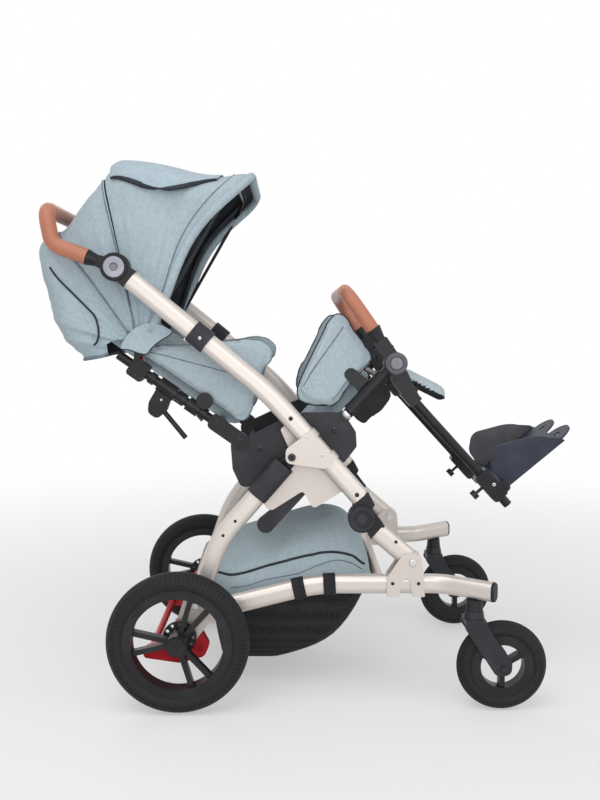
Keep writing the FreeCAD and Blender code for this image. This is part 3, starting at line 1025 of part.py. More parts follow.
os.makedirs("parts", exist_ok=True)
box = FreeCAD.BoundBox()
for name, shape in nodes.items():
    shape.translate(Vec(-FRAME_MIDDLE, 0, 0))
    shape.exportStep("parts/" + name + ".step")
    box.add(shape.BoundBox)
print("pieces", len(nodes), "box", [round(v, 1) for v in
      (box.XMin, box.XMax, box.YMin, box.YMax, box.ZMin, box.ZMax)])
for name, shape in nodes.items():
    if not shape.isValid() or min(s.Volume for s in shape.Solids) <= 0:
        print("not valid:", name)
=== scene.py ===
"""Special needs stroller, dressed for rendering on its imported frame. Metres, X forward, Z up."""
import bmesh
import bpy
import math
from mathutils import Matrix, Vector, noise


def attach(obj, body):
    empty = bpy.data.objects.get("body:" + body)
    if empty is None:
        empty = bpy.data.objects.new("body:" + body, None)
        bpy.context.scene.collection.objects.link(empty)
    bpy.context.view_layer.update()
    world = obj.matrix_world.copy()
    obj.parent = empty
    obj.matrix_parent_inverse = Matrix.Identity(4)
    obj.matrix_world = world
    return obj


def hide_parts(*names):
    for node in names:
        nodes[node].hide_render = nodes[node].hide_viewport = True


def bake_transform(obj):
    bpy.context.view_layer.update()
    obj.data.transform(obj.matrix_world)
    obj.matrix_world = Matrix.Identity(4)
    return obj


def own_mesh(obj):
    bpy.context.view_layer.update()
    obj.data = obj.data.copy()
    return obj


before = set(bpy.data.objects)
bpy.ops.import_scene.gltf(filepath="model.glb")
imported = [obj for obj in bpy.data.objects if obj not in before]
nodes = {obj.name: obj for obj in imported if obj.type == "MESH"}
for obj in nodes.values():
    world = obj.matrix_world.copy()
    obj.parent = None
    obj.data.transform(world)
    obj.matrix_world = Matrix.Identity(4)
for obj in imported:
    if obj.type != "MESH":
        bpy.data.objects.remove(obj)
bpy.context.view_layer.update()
scene = bpy.context.scene
scene.view_settings.view_transform = "Standard"
SIDES = ((1, "left"), (-1, "right"))
AXLE_X = 274.0  # the rear axle lies this far behind the origin, in millimetres

# Studio: a pale seamless floor under one broad soft lamp, weaker fills from the camera's side, the front and
# behind, and a white surround. The camera stands above seat height, square to the right side.
eye = bpy.data.cameras.new("side_camera")
eye.sensor_fit = "VERTICAL"
eye.sensor_height = 36.0
eye.lens = 39.63
camera = bpy.data.objects.new("side_camera", eye)
camera.location = (-0.0355, -2.0725, 0.805)
camera.rotation_euler = (math.radians(90.0 - 4.738), 0.0, math.radians(-0.52))
scene.collection.objects.link(camera)
scene.camera = camera

LAMPS = (  # name, place, height aimed at, size, power
    ("broad_lamp", (-0.7, -1.5, 3.0), 0.5, 2.4, 30.0),
    ("side_fill", (0.3, -3.3, 1.2), 0.5, 2.6, 30.0),
    ("front_fill", (2.6, -1.6, 1.5), 0.5, 2.0, 12.0),
    ("back_fill", (-1.4, 2.4, 2.2), 0.6, 2.0, 14.0))
for lamp_name, place, aim, size, power in LAMPS:
    lamp = bpy.data.lights.new(lamp_name, "AREA")
    lamp.shape = "DISK"
    lamp.size = size
    lamp.energy = power
    stand = bpy.data.objects.new(lamp_name, lamp)
    stand.location = place
    stand.rotation_euler = (Vector((0.0, 0.0, aim)) - Vector(place)).to_track_quat("-Z", "Y").to_euler()
    scene.collection.objects.link(stand)


class Wire:
    """One output socket in a node tree, so that shader maths reads as plain expressions."""

    def __init__(self, tree, socket=None):
        self.tree = tree
        self.socket = socket

    def make(self, kind, settings=None, inputs=None, out=0):
        """Add a node: its settings first, then the values or links of its sockets."""
        node = self.tree.nodes.new(kind)
        for name, value in (settings or {}).items():
            setattr(node, name, value)
        for name, value in (inputs or {}).items():
            if isinstance(value, Wire):
                self.tree.links.new(value.socket, node.inputs[name])
            else:
                node.inputs[name].default_value = value
        return Wire(self.tree, node.outputs[out] if len(node.outputs) else None)

    def maths(self, operation, first, second=0.0):
        return self.make("ShaderNodeMath", {"operation": operation}, {0: first, 1: second})

    def __add__(self, other): return self.maths("ADD", self, other)
    def __sub__(self, other): return self.maths("SUBTRACT", self, other)
    def __rsub__(self, other): return self.maths("SUBTRACT", other, self)
    def __mul__(self, other): return self.maths("MULTIPLY", self, other)

    def above(self, level, blur):
        """0 below a level and 1 above it, with a soft edge."""
        return self.make("ShaderNodeMapRange", {"interpolation_type": "SMOOTHSTEP"},
                         {"Value": self, "From Min": level - blur, "From Max": level + blur})

    def mixed(self, low, high):
        """One colour where this is 0 and another where it is 1."""
        return self.make("ShaderNodeMix", {"data_type": "RGBA"}, {0: self, 6: low, 7: high}, 2)

    def spot(self):
        """The piece's own coordinates."""
        return self.make("ShaderNodeTexCoord", out=3)

    def noise(self, scale, detail, **more):
        """Soft noise over the piece's own coordinates."""
        return self.make("ShaderNodeTexNoise", {},
                         {"Vector": self.spot(), "Scale": scale, "Detail": detail, **more})

    def direct(self):
        """1 for what the camera sees straight, in a mirror or through glass, 0 for the light cast on others."""
        ports = self.make("ShaderNodeLightPath").socket.node.outputs
        camera_ray, glossy, through = (Wire(self.tree, ports["Is " + kind + " Ray"])
                                       for kind in ("Camera", "Glossy", "Transmission"))
        return (camera_ray + glossy + through).above(0.5, 0.1)


def opened(name):
    """A new material with an empty tree, and a wire to build it from."""
    material = bpy.data.materials.new(name)
    material.use_nodes = True
    material.node_tree.nodes.clear()
    return material, Wire(material.node_tree)


def shaded(material, wire, sockets, bump=None, strength=0.2, distance=0.0005):
    """Close a material: the shader's sockets, and a bump height if there is one."""
    if bump is not None:
        sockets["Normal"] = wire.make("ShaderNodeBump", {},
                                      {"Strength": strength, "Distance": distance, "Height": bump})
    shader = wire.make("ShaderNodeBsdfPrincipled", {}, sockets)
    wire.make("ShaderNodeOutputMaterial", {}, {"Surface": shader})
    return material


WHITE = (1.0, 1.0, 1.0, 1.0)
FLOOR_SHIFT = 6.0  # the floor's middle lies this far behind the part
surround = bpy.data.worlds.new("white_surround")
scene.world = surround
surround.use_nodes = True
surround.node_tree.nodes.clear()
sky = Wire(surround.node_tree)
glow = sky.make("ShaderNodeBackground", {}, {"Color": WHITE, "Strength": sky.direct() * 0.5 + 0.5})
sky.make("ShaderNodeOutputWorld", {}, {"Surface": glow})

bpy.ops.mesh.primitive_plane_add(size=30.0, location=(0.0, FLOOR_SHIFT, -0.0005))
floor = bpy.context.object
floor.name = "studio_floor"
paper, wire = opened("pale_paper")
place = wire.make("ShaderNodeVectorMath", {"operation": "ADD"}, {0: wire.spot(), 1: (0.0, FLOOR_SHIFT, 0.0)})
away = wire.make("ShaderNodeVectorMath", {"operation": "LENGTH"}, {0: place}, 1)
white = wire.direct() * (away.above(1.9, 1.3) * 0.62 + 0.38)
matte = wire.make("ShaderNodeBsdfDiffuse", {}, {"Color": (0.86, 0.86, 0.86, 1.0)})
lit = wire.make("ShaderNodeEmission", {}, {"Color": WHITE, "Strength": 1.0})
blend = wire.make("ShaderNodeMixShader", {}, {0: white, 1: matte, 2: lit})
wire.make("ShaderNodeOutputMaterial", {}, {"Surface": blend})
floor.data.materials.append(paper)


# Frame tubes: oval extruded aluminium, bead blasted and anodised a pale champagne. The push tubes, front
# links, rear legs and base rails are bent from the same tube; the hinge plates are stamped from sheet.
def shade(tint, factor=1.0, plus=0.0):
    """A tint made lighter or darker, with its alpha."""
    return tuple(min(c * factor + plus, 1.0) for c in tint) + (1.0,)


def champagne(name, tint, rough):
    """Satin anodised metal: fine blasted grain, faint draw lines and slightly worn tone."""
    material, wire = opened(name)
    grain, cloud = wire.noise(900.0, 3.0), wire.noise(9.0, 2.0)
    colour = (cloud * 0.6 + grain * 0.4).mixed(shade(tint, 0.93), shade(tint))
    return shaded(material, wire, {"Base Color": colour, "Metallic": 0.55, "Roughness": grain * 0.12 + rough},
                  grain, 0.06, 0.0003)


def dress(material, *names):
    """Give CAD nodes a finish; a name that ends in _ stands for a left and a right node."""
    for name in names:
        for node_name in ([name + word for _, word in SIDES] if name.endswith("_") else [name]):
            slots = nodes[node_name].data.materials
            slots.clear()
            slots.append(material)


tube_metal = champagne("champagne_tube", (0.66, 0.605, 0.565), 0.34)
plate_metal = champagne("champagne_plate", (0.62, 0.565, 0.525), 0.42)
dress(tube_metal, "base_rail_", "front_link_", "rear_leg_", "push_tube_", "cross_tubes")
dress(plate_metal, "frame_brackets", "gusset_plates", "seat_plates")


# Axles, pivot bolts and bearings: bright zinc-plated steel, turned and left with a light circular brushing.
def plated(name, tint, rough):
    """Plated or polished steel with faint turning marks."""
    material, wire = opened(name)
    marks = wire.noise(700.0, 2.0)
    return shaded(material, wire, {"Base Color": marks.mixed(shade(tint, 0.8), shade(tint)), "Metallic": 1.0,
                                   "Roughness": marks * 0.15 + rough}, marks, 0.05, 0.0002)


bolt_steel = plated("zinc_steel", (0.66, 0.66, 0.67), 0.24)
dress(bolt_steel, "axle_and_bolts", "rear_bearings_")


# Moulded black pieces: glass-filled nylon with a fine spark-eroded skin. They are the tube end caps, caster
# housings, forks, hinge halves, handle hubs and clamps, each moulded in one shot and bolted to the tubes.
def moulded(name, tint, rough, grain_size=1400.0, relief=0.16):
    """Moulded plastic: fine skin grain, faint flow marks and slightly paler rubbed areas."""
    material, wire = opened(name)
    skin, flow = wire.noise(grain_size, 2.0), wire.noise(22.0, 3.0)
    colour = flow.above(0.58, 0.25).mixed(shade(tint), shade(tint, 1.5, 0.006))
    return shaded(material, wire, {"Base Color": colour, "Roughness": skin * 0.16 + flow * 0.1 + rough,
                                   "Specular IOR Level": 0.26}, skin, relief, 0.0003)


black_nylon = moulded("black_nylon", (0.014, 0.014, 0.017), 0.36)
fork_nylon = moulded("fork_nylon", (0.024, 0.024, 0.029), 0.34)
charcoal_nylon = moulded("charcoal_nylon", (0.026, 0.026, 0.031), 0.42, 900.0, 0.22)
hub_nylon = moulded("hub_nylon", (0.012, 0.012, 0.015), 0.32)
dress(black_nylon, "rail_ends_and_housings", "lower_knuckles", "upper_knuckles", "handle_plugs", "grab_clamps")
dress(hub_nylon, "handle_hubs")
dress(fork_nylon, "caster_fork_")
dress(charcoal_nylon, "tube_sleeves", "seat_shell", "tilt_lever", "lock_sleeve_")

# Powder-coated steel: the seat and back tubes, the leg tubes with their sliding bracket, the handle bar's
# core, the canopy bow and the rear legs' top links. A satin black coat with a slight orange peel.
coat_black = moulded("black_powder_coat", (0.008, 0.008, 0.010), 0.18, 420.0, 0.10)
dress(coat_black, "back_frame", "legrest_frame", "seat_tubes", "handle_bar", "canopy_bow", "leg_links",
      "seat_pivot_tube", "foot_bracket")

# Handle buttons: grey nylon, pressed to turn the handle. The brake's rockers and their bar are glossy red
# nylon, so that the pusher's foot finds them at a glance, and the foot plate is one dark blue-grey tray.
button_grey = moulded("button_grey", (0.20, 0.20, 0.23), 0.34)
dress(button_grey, "handle_button_")
brake_red = moulded("brake_red", (0.42, 0.014, 0.020), 0.22, 1100.0, 0.06)
dress(brake_red, "brake_pedal")
dress(moulded("tray_nylon", (0.026, 0.031, 0.050), 0.36, 1200.0, 0.1), "footplate")


# Wheels: black foam-rubber tyres with sipes moulded into both shoulders, on one-shot nylon rims.
# The sipes are fine radial nicks, counted round each tyre.
def tyre_rubber(name, centre, radius, band, count):
    """Matt rubber with radial nicks on the shoulders."""
    material, wire = opened(name)
    moved = wire.make("ShaderNodeVectorMath", {"operation": "SUBTRACT"}, {0: wire.spot(), 1: centre})
    x = wire.make("ShaderNodeSeparateXYZ", {}, {0: moved})
    z = Wire(wire.tree, x.socket.node.outputs[2])
    reach = wire.maths("SQRT", x * x + z * z)
    wave = wire.maths("SINE", wire.maths("ARCTAN2", z, x) * float(count))
    shoulder = reach.above(radius - band, 0.0015) * (1.0 - reach.above(radius - band * 0.28, 0.0012))
    # Inside the nicks the rubber is painted near black: painted shade in the recesses, on top of their relief.
    nick_and_shade = wave.above(0.55, 0.18) * shoulder
    dust = wire.noise(260.0, 4.0)
    pale = dust.above(0.52, 0.2).mixed((0.008, 0.008, 0.009, 1.0), (0.018, 0.018, 0.020, 1.0))
    return shaded(material, wire, {"Base Color": nick_and_shade.mixed(pale, (0.004, 0.004, 0.004, 1.0)),
                                   "Roughness": dust * 0.2 + 0.58, "Specular IOR Level": 0.3},
                  dust * 0.25 - nick_and_shade, 0.5, 0.0012)


for axle, centre, radius, band, count in (("rear", (-0.274, 0.0, 0.150), 0.150, 0.020, 96),
                                          ("front", (0.406, 0.0, 0.095), 0.095, 0.015, 72)):
    for _, word in SIDES:
        rubber = tyre_rubber(axle + "_tyre_rubber_" + word, centre, radius, band, count)
        dress(rubber, axle + "_tyre_" + word)
dress(moulded("rim_nylon", (0.014, 0.014, 0.016), 0.24, 1500.0, 0.1), "rear_rim_", "front_rim_")


# Handle grip and grab bar: foam under a tan leather-look sleeve, sewn shut along its underside.
# The grain is one of small cells, their creases painted darker as the shade between them, worn to a soft sheen.
def tan_leather(name, tint):
    """Grained leather: small cells in relief, creases painted darker as shade, and a soft worn sheen."""
    material, wire = opened(name)
    cells = wire.make("ShaderNodeTexVoronoi", {"feature": "DISTANCE_TO_EDGE"},
                      {"Vector": wire.spot(), "Scale": 640.0})
    blush, fine = wire.noise(30.0, 4.0), wire.noise(900.0, 2.0)
    # The creases between the cells take a darker colour: painted shade in the grain's grooves.
    crease_shade = 1.0 - cells.above(0.06, 0.06)
    colour = (crease_shade * 0.7).mixed(blush.mixed(shade(tint), shade(tint, 1.18)), shade(tint, 0.62))
    height = cells.above(0.10, 0.10) * 0.8 + fine * 0.2
    return shaded(material, wire, {"Base Color": colour, "Roughness": blush * 0.16 + 0.30, "Coat Weight": 0.12,
                                   "Coat Roughness": 0.3}, height, 0.35, 0.0005)


dress(tan_leather("tan_leather", (0.46, 0.165, 0.092)), "handle_grip", "grab_bar")


# Melange cloth of the seat, back, canopy and basket lid: a plain-woven polyester in blue-grey, each yarn
# spun from lighter and darker fibres, so that it looks flecked from close by and even from afar.
def melange(name, tint, fleck=0.16):
    """Woven blue-grey cloth: crossing yarns in relief, flecked fibres and faint cloudy shading."""
    material, wire = opened(name)
    warp, weft = (wire.make("ShaderNodeTexWave", {"bands_direction": way},
                            {"Vector": wire.spot(), "Scale": scale, "Distortion": bend, "Detail": 2.0,
                             "Detail Scale": 2.0})
                  for way, scale, bend in (("DIAGONAL", 260.0, 2.0), ("Z", 320.0, 2.5)))
    fibre = wire.noise(520.0, 4.0, Roughness=0.7)
    slub, cloud = wire.noise(120.0, 3.0), wire.noise(11.0, 2.0)
    weave = warp * 0.5 + weft * 0.5
    tone = (fibre - 0.5) * 1.5 + (slub - 0.5) * 0.5 + (weave - 0.5) * 0.35 + (cloud - 0.5) * 0.35 + 0.5
    colour = tone.above(0.5, 0.5).mixed(shade(tint, 1.0 - fleck * 1.7), shade(tint, 1.0 + fleck))
    return shaded(material, wire, {"Base Color": colour, "Roughness": fibre * 0.1 + 0.82, "Sheen Weight": 0.12,
                                   "Sheen Roughness": 0.5}, weave * 0.6 + fibre * 0.4, 0.30, 0.0006)


def joined(name, points, faces, smooth=True):
    """A mesh object from points and faces, with its faces turned outwards."""
    mesh = bpy.data.meshes.new(name)
    mesh.from_pydata([tuple(p) for p in points], [], faces)
    shape = bmesh.new()
    shape.from_mesh(mesh)
    bmesh.ops.remove_doubles(shape, verts=shape.verts, dist=1e-5)
    bmesh.ops.recalc_face_normals(shape, faces=shape.faces)
    shape.to_mesh(mesh)
    shape.free()
    piece = bpy.data.objects.new(name, mesh)
    scene.collection.objects.link(piece)
    for face in mesh.polygons:
        face.use_smooth = smooth
    return piece


def baked(piece):
    """Apply what modifiers a piece has, so that its mesh is final."""
    depsgraph = bpy.context.evaluated_depsgraph_get()
    mesh = bpy.data.meshes.new_from_object(piece.evaluated_get(depsgraph), depsgraph=depsgraph)
    old = piece.data
    piece.modifiers.clear()
    piece.data = mesh
    bpy.data.meshes.remove(old)
    for face in mesh.polygons:
        face.use_smooth = True


def worn(piece, finish, body, slot):
    """Finish a piece and let it ride on one body; its slot is not used."""
    piece.data.materials.append(finish)
    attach(piece, body)


def through(a, b, c, d, t):
    """A smooth curve from b to c at share t, with a before and d after them."""
    return 0.5 * (2 * b + (c - a) * t + (2 * a - 5 * b + 4 * c - d) * t * t + (3 * b - a - 3 * c + d) * t ** 3)


def rounded(corners, step=0.006):
    """Even points along a smooth closed line near (x, z) corners."""
    count = len(corners)
    fine = []
    for i in range(count):
        four = [Vector(corners[(i + k) % count]) for k in (-1, 0, 1, 2)]
        fine += [through(*four, k / 24) for k in range(24)]
    length = sum((fine[i] - fine[i - 1]).length for i in range(len(fine)))
    wanted = max(int(length / step), 12)
    even, walked, due = [], 0.0, 0.0
    for i in range(len(fine)):
        start, stop = fine[i - 1], fine[i]
        run = (stop - start).length
        while due <= walked + run and len(even) < wanted:
            even.append(start.lerp(stop, (due - walked) / run if run > 0 else 0.0))
            due += length / wanted
        walked += run
    return even


def stepped(line, parts):
    """Points along the straight runs of a line, each run cut into equal parts."""
    return [line[i].lerp(line[i + 1], k / parts) for i in range(len(line) - 1) for k in range(parts)]


def at_side(line, y):
    """Side-view points set at one y."""
    return [Vector((p.x, y, p.y)) for p in line]


def grid_faces(rows, wide):
    """Quads between neighbouring rows of points."""
    return [(a, a + 1, a + wide + 1, a + wide) for r in range(rows) for a in range(r * wide, r * wide + wide - 1)]


def band_faces(bands, count):
    """Quads between neighbouring closed rings of points."""
    return [(a + i, a + (i + 1) % count, a + count + (i + 1) % count, a + count + i)
            for a in range(0, bands * count, count) for i in range(count)]


CLOTH_TICKS = 20


def swollen(piece, voxel, pressure, cap):
    """Foam pressing out against its sewn cover: a short cloth run, with every point's travel capped."""
    remesh = piece.modifiers.new("even_cloth", "REMESH")
    remesh.mode = "VOXEL"
    remesh.voxel_size = voxel
    baked(piece)
    before = [v.co.copy() for v in piece.data.vertices]
    cloth = piece.modifiers.new("cover", "CLOTH")
    for name, value in (("quality", 4), ("mass", 0.2), ("tension_stiffness", 12.0),
                        ("compression_stiffness", 12.0), ("bending_stiffness", 0.8), ("use_pressure", True),
                        ("uniform_pressure_force", pressure)):
        setattr(cloth.settings, name, value)
    cloth.settings.effector_weights.gravity = 0.0
    cloth.collision_settings.use_collision = False
    cloth.point_cache.frame_end = CLOTH_TICKS
    for tick in range(1, CLOTH_TICKS + 1):
        scene.frame_set(tick)
    depsgraph = bpy.context.evaluated_depsgraph_get()
    after = [v.co.copy() for v in piece.evaluated_get(depsgraph).data.vertices]
    piece.modifiers.clear()
    scene.frame_set(1)
    for point, was, now in zip(piece.data.vertices, before, after):
        travel = now - was
        if travel.length > cap:
            travel *= cap / travel.length
        point.co = was + travel
    even = piece.modifiers.new("smooth_cover", "SMOOTH")
    even.factor = 0.5
    even.iterations = 4
    baked(piece)


def slab(corners, y0, y1, bevel=0.006):
    """A closed upright block with a rounded side outline, between two y planes."""
    line = rounded(corners)
    count = len(line)
    middle = sum(line, Vector((0.0, 0.0))) / count
    points = []
    for y, inset in ((y0, bevel), (y0 + bevel, 0.0), (y1 - bevel, 0.0), (y1, bevel)):
        for p in line:
            arm = p - middle
            q = middle + arm * max((arm.length - inset) / arm.length, 0.1)
            points.append((q.x, y, q.y))
    return points, band_faces(3, count) + [tuple(range(count)), tuple(range(4 * count - 1, 3 * count - 1, -1))]


def piping(name, line, radius, closed=False, sides=8):
    """A sewn cord or hem: a round section carried along points, with an even frame."""
    points, faces = [], []
    count = len(line)
    up = Vector((0.0, 1.0, 0.0))
    for i, p in enumerate(line):
        last = line[i - 1] if (closed or i > 0) else line[i]
        following = line[(i + 1) % count] if (closed or i < count - 1) else line[i]
        way = (following - last).normalized()
        side = way.cross(up)
        if side.length < 0.05:
            side = way.cross(Vector((1.0, 0.0, 0.0)))
        side.normalize()
        lift = side.cross(way).normalized()
        for k in range(sides):
            a = 2 * math.pi * k / sides
            points.append(p + side * (radius * math.cos(a)) + lift * (radius * math.sin(a)))
    for i in range(count if closed else count - 1):
        for k in range(sides):
            m = (k + 1) % sides
            j = (i + 1) % count
            faces.append((i * sides + k, i * sides + m, j * sides + m, j * sides + k))
    if not closed:
        faces.append(tuple(range(sides)))
        faces.append(tuple(range((count - 1) * sides, count * sides)))
    return joined(name, points, faces)


def sewn(name, line, radius, finish, body, closed=False, sides=8):
    """A welt, seam, hem or zip on the cloth, riding on one body."""
    cord = piping(name, line, radius, closed, sides)
    worn(cord, finish, body, "blue_fabric")
    return cord


def laid(source, line, lift):
    """Points of a line brought down onto a piece's skin, standing a little proud of it."""
    near = []
    for p in line:
        hit, spot, normal, _ = source.closest_point_on_mesh(p)
        near.append(spot + normal * lift if hit else p)
    return near


# Seat cushion and thigh pads: foam in sewn covers of the melange cloth. The cushion lies on the seat pan,
# and each thigh pad stands on a lug of the side tubes, with a dark piped edge and one long top-stitched seam.
def leaning(x, z, degrees, lift_sense=1.0):
    """Turns metres along a leaning piece and square off it into a side-view point."""
    c, s = math.cos(math.radians(degrees)), math.sin(math.radians(degrees))

    def place(along, lift):
        lift *= lift_sense
        return Vector((x + c * along - s * lift, z + s * along + c * lift))
    return place


def in_millimetres(place, spots):
    """Side-view points of a leaning piece, from (along, lift) in millimetres."""
    return [place(along / 1000, lift / 1000) for along, lift in spots]


def cushion_form(place, length, half, low, top, crown, rows=18, columns=22):
    """Closed crowned form with drawn-in sides; place turns (forward, lift) into the side view."""
    points = []
    for r in range(rows + 1):
        share = r / rows
        end = min(share, 1.0 - share)
        fall = 1.0 - max(0.0, 1.0 - end / 0.16) ** 2.2 * 0.55
        waist = half * (1.0 - 0.035 * math.sin(math.pi * share) - 0.05 * max(0.0, 1.0 - end / 0.1) ** 2)
        for c in range(columns + 1):
            across = -1.0 + 2.0 * c / columns
            edge = max(0.0, abs(across) - 0.72) / 0.28
            height = low + (top - low + crown * (1 - across * across)) * fall * (1.0 - 0.5 * edge ** 2.4)
            p = place(share * length, height)
            points.append((p.x, across * waist, p.y))
    bottom = len(points)
    for r in range(rows + 1):
        share = r / rows
        waist = half * (0.965 - 0.035 * math.sin(math.pi * share))
        p = place(share * length, low)
        points += [(p.x, (-1.0 + 2.0 * c / columns) * waist, p.y) for c in range(columns + 1)]
    wide = columns + 1
    faces = grid_faces(rows, wide)
    faces += [tuple(bottom + v for v in reversed(face)) for face in faces]
    for c in range(columns):
        a = rows * wide + c
        faces += [(c, bottom + c, bottom + c + 1, c + 1), (a, a + 1, bottom + a + 1, bottom + a)]
    for r in range(rows):
        a, b = r * wide, r * wide + columns
        faces += [(a, a + wide, bottom + a + wide, bottom + a), (b, bottom + b, bottom + b + wide, b + wide)]
    return points, faces


def upholstered(name, form, cloth, body, slot, voxel, pressure, cap):
    """A padded piece: its form swollen by its foam, in one cloth, riding on one body."""
    pad = joined(name, *form)
    swollen(pad, voxel, pressure, cap)
    worn(pad, cloth, body, slot)
    return pad


PAD_INNER, PAD_OUTER, PAD_MIDDLE, BESIDE = 0.156, 0.173, 0.1645, 0.19  # y of the side pads, and one clear of them
seat_spot = leaning(0.076, 0.610, 47.3)
back_spot = leaning(-0.1475, 0.5627, 144.8, -1.0)
calf_spot = leaning(0.20948, 0.68824, -26.7)
seat_cloth = melange("seat_cloth", (0.405, 0.495, 0.545))
dark_piping = moulded("dark_piping", (0.022, 0.026, 0.034), 0.6, 700.0, 0.3)
seam_and_fold_shade_thread = moulded("seam_and_fold_shade_thread", (0.15, 0.19, 0.215), 0.7, 900.0, 0.3)
pale_thread = moulded("pale_thread", (0.62, 0.66, 0.68), 0.6, 900.0, 0.3)
seat_form = cushion_form(lambda f, l: seat_spot(f - 0.148, l), 0.262, 0.142, 0.0125, 0.044, 0.006)
seat_pad = upholstered("seat_pad", seat_form, seat_cloth, "seat", "blue_fabric", 0.006, 3.5, 0.008)
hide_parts("seat_cushion")

thigh_line = in_millimetres(seat_spot, (
    (-40, 92), (-16, 48), (8, 29), (60, 30), (132, 36), (150, 68), (160, 110), (165, 146), (156, 165), (130, 167),
    (96, 162), (50, 149), (6, 134), (-26, 114)))
THIGH_SEAMS = (
    ("stitch", pale_thread, 0.0008, ((-22, 92), (-14, 112), (10, 126), (52, 140), (98, 152), (140, 158))),
    ("dart", seam_and_fold_shade_thread, 0.0013, ((-12, 113), (30, 119), (70, 124), (110, 129), (150, 135))),
    # The fold line is a dark cord along the crease near the pad's foot: painted shade, not a seam.
    ("fold", seam_and_fold_shade_thread, 0.0011, ((138, 34), (112, 38), (80, 41), (40, 41), (4, 38))))
for side, word in SIDES:
    pad = upholstered("thigh_pad_" + word, slab(thigh_line, side * PAD_INNER, side * PAD_OUTER),
                      seat_cloth, "seat", "blue_fabric", 0.005, 4.0, 0.009)
    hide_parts("seat_wings")
    rim = at_side(rounded(thigh_line, 0.008), side * PAD_MIDDLE)
    sewn("thigh_welt_" + word, laid(pad, rim, 0.0004), 0.0022, dark_piping, "seat", closed=True)
    for run, thread, radius, path in THIGH_SEAMS:
        seam_line = at_side(stepped(in_millimetres(seat_spot, path), 6), side * BESIDE)
        sewn("thigh_" + run + "_" + word, laid(pad, seam_line, 0.0001), radius, thread, "seat", sides=6)


# Back cushion and its two side pads: the cushion buttons onto the back rest's cross bars; the side pads
# stand beside it in one piece each, sewn with a seam where the foam is thinner.
back_form = cushion_form(lambda f, l: back_spot(f + 0.014, l), 0.420, 0.142, 0.0115, 0.070, 0.010)
back_pad = upholstered("back_pad", back_form, seat_cloth, "backrest", "blue_fabric", 0.006, 3.5, 0.009)
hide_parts("back_cushion")
side_line = in_millimetres(back_spot, (
    (290, 32), (258, 74), (205, 116), (150, 164), (98, 202), (58, 206), (40, 186), (38, 152), (22, 100), (10, 66),
    (16, 30), (80, 23), (160, 22), (240, 23)))
for side, word in SIDES:
    pad = upholstered("back_side_pad_" + word, slab(side_line, side * PAD_INNER, side * PAD_OUTER),
                      seat_cloth, "backrest", "blue_fabric", 0.005, 4.0, 0.009)
    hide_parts("back_wings")
    rim = at_side(rounded(side_line, 0.008), side * PAD_MIDDLE)
    sewn("back_side_welt_" + word, laid(pad, rim, 0.0002), 0.0016, seam_and_fold_shade_thread, "backrest", closed=True)
    seam_line = at_side([back_spot(0.100 + k * 0.0070, 0.106 - 0.0026 * k) for k in range(25)], side * BESIDE)
    sewn("back_side_seam_" + word, laid(pad, seam_line, 0.0001), 0.0011, seam_and_fold_shade_thread, "backrest", sides=6)

# Calf pad: a thin foam pad in the melange cloth with a black underside, strapped over the leg rest's rod.
# Its cover is sewn from two cloths, so the lower faces take the black one.
calf_cloth = melange("calf_cloth", (0.43, 0.505, 0.545))
calf_under = moulded("calf_under_cloth", (0.018, 0.018, 0.02), 0.7, 600.0, 0.3)
calf = upholstered("calf_cushion", cushion_form(calf_spot, 0.112, 0.114, 0.001, 0.018, 0.006, 12, 18),
                   calf_cloth, "legrest", "blue_fabric", 0.005, 3.0, 0.005)
calf.data.materials.append(calf_under)
calf_up = calf_spot(0.0, 1.0) - calf_spot(0.0, 0.0)
for face in calf.data.polygons:
    lift = (Vector((face.center.x, face.center.z)) - calf_spot(0.0, 0.0)).dot(calf_up)
    face.material_index = 1 if lift < 0.009 else 0
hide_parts("calf_pad")

# Seat valances: the black padded edges of the seat's sling, laced along the seat tubes below the thigh pads.
# Each is a thin bolster with the tubes' outline above and a soft hanging edge below.
valance_cloth = moulded("valance_cloth", (0.012, 0.012, 0.014), 0.72, 640.0, 0.4)
valance_line = in_millimetres(seat_spot, (
    (20, -7), (60, -6), (108, -5), (113, -20), (105, -40), (86, -46), (63, -47), (40, -41), (20, -39)))
for side, word in SIDES:
    upholstered("seat_valance_" + word, slab(valance_line, side * 0.1760, side * 0.1945), valance_cloth, "seat",
                "webbing", 0.004, 2.5, 0.003)


# Canopy: cloth stretched over bows that fan out from the back rest. The rear half ends in a bag that hangs
# behind the head, the front half runs to the visor's padded rim, and a zipped flap covers a vent on the top.
def fan_reach(stops, angle):
    """Smooth value between stops, such as the reach of the cloth's middle line at one angle of the fan."""
    last = len(stops) - 1
    for i in range(last):
        if stops[i][0] <= angle <= stops[i + 1][0]:
            four = [stops[max(0, min(i + k, last))][1] for k in (-1, 0, 1, 2)]
            return through(*four, (angle - stops[i][0]) / (stops[i + 1][0] - stops[i][0]))
    return stops[0][1] if angle < stops[0][0] else stops[-1][1]


CANOPY_X, CANOPY_Z, HALF = -0.360, 0.760, 0.1905  # the bows' pivots, and half the canopy's width


def fan_point(angle, distance, y):
    """Point in the plane that fans out from the canopy's pivots at one angle."""
    a = math.radians(angle)
    return Vector((CANOPY_X + math.cos(a) * distance, y, CANOPY_Z + math.sin(a) * distance))


def fan_line(angle, line):
    """Points of one bow from (distance, y); the front bows' sides are drawn hollow."""
    hollow = 8.0 * max(0.0, min((84.0 - angle) / 24.0, 1.0))
    return [fan_point(angle + hollow * math.sin(math.pi * min(d / 0.43, 1.0)) ** 1.5, d, y) for d, y in line]


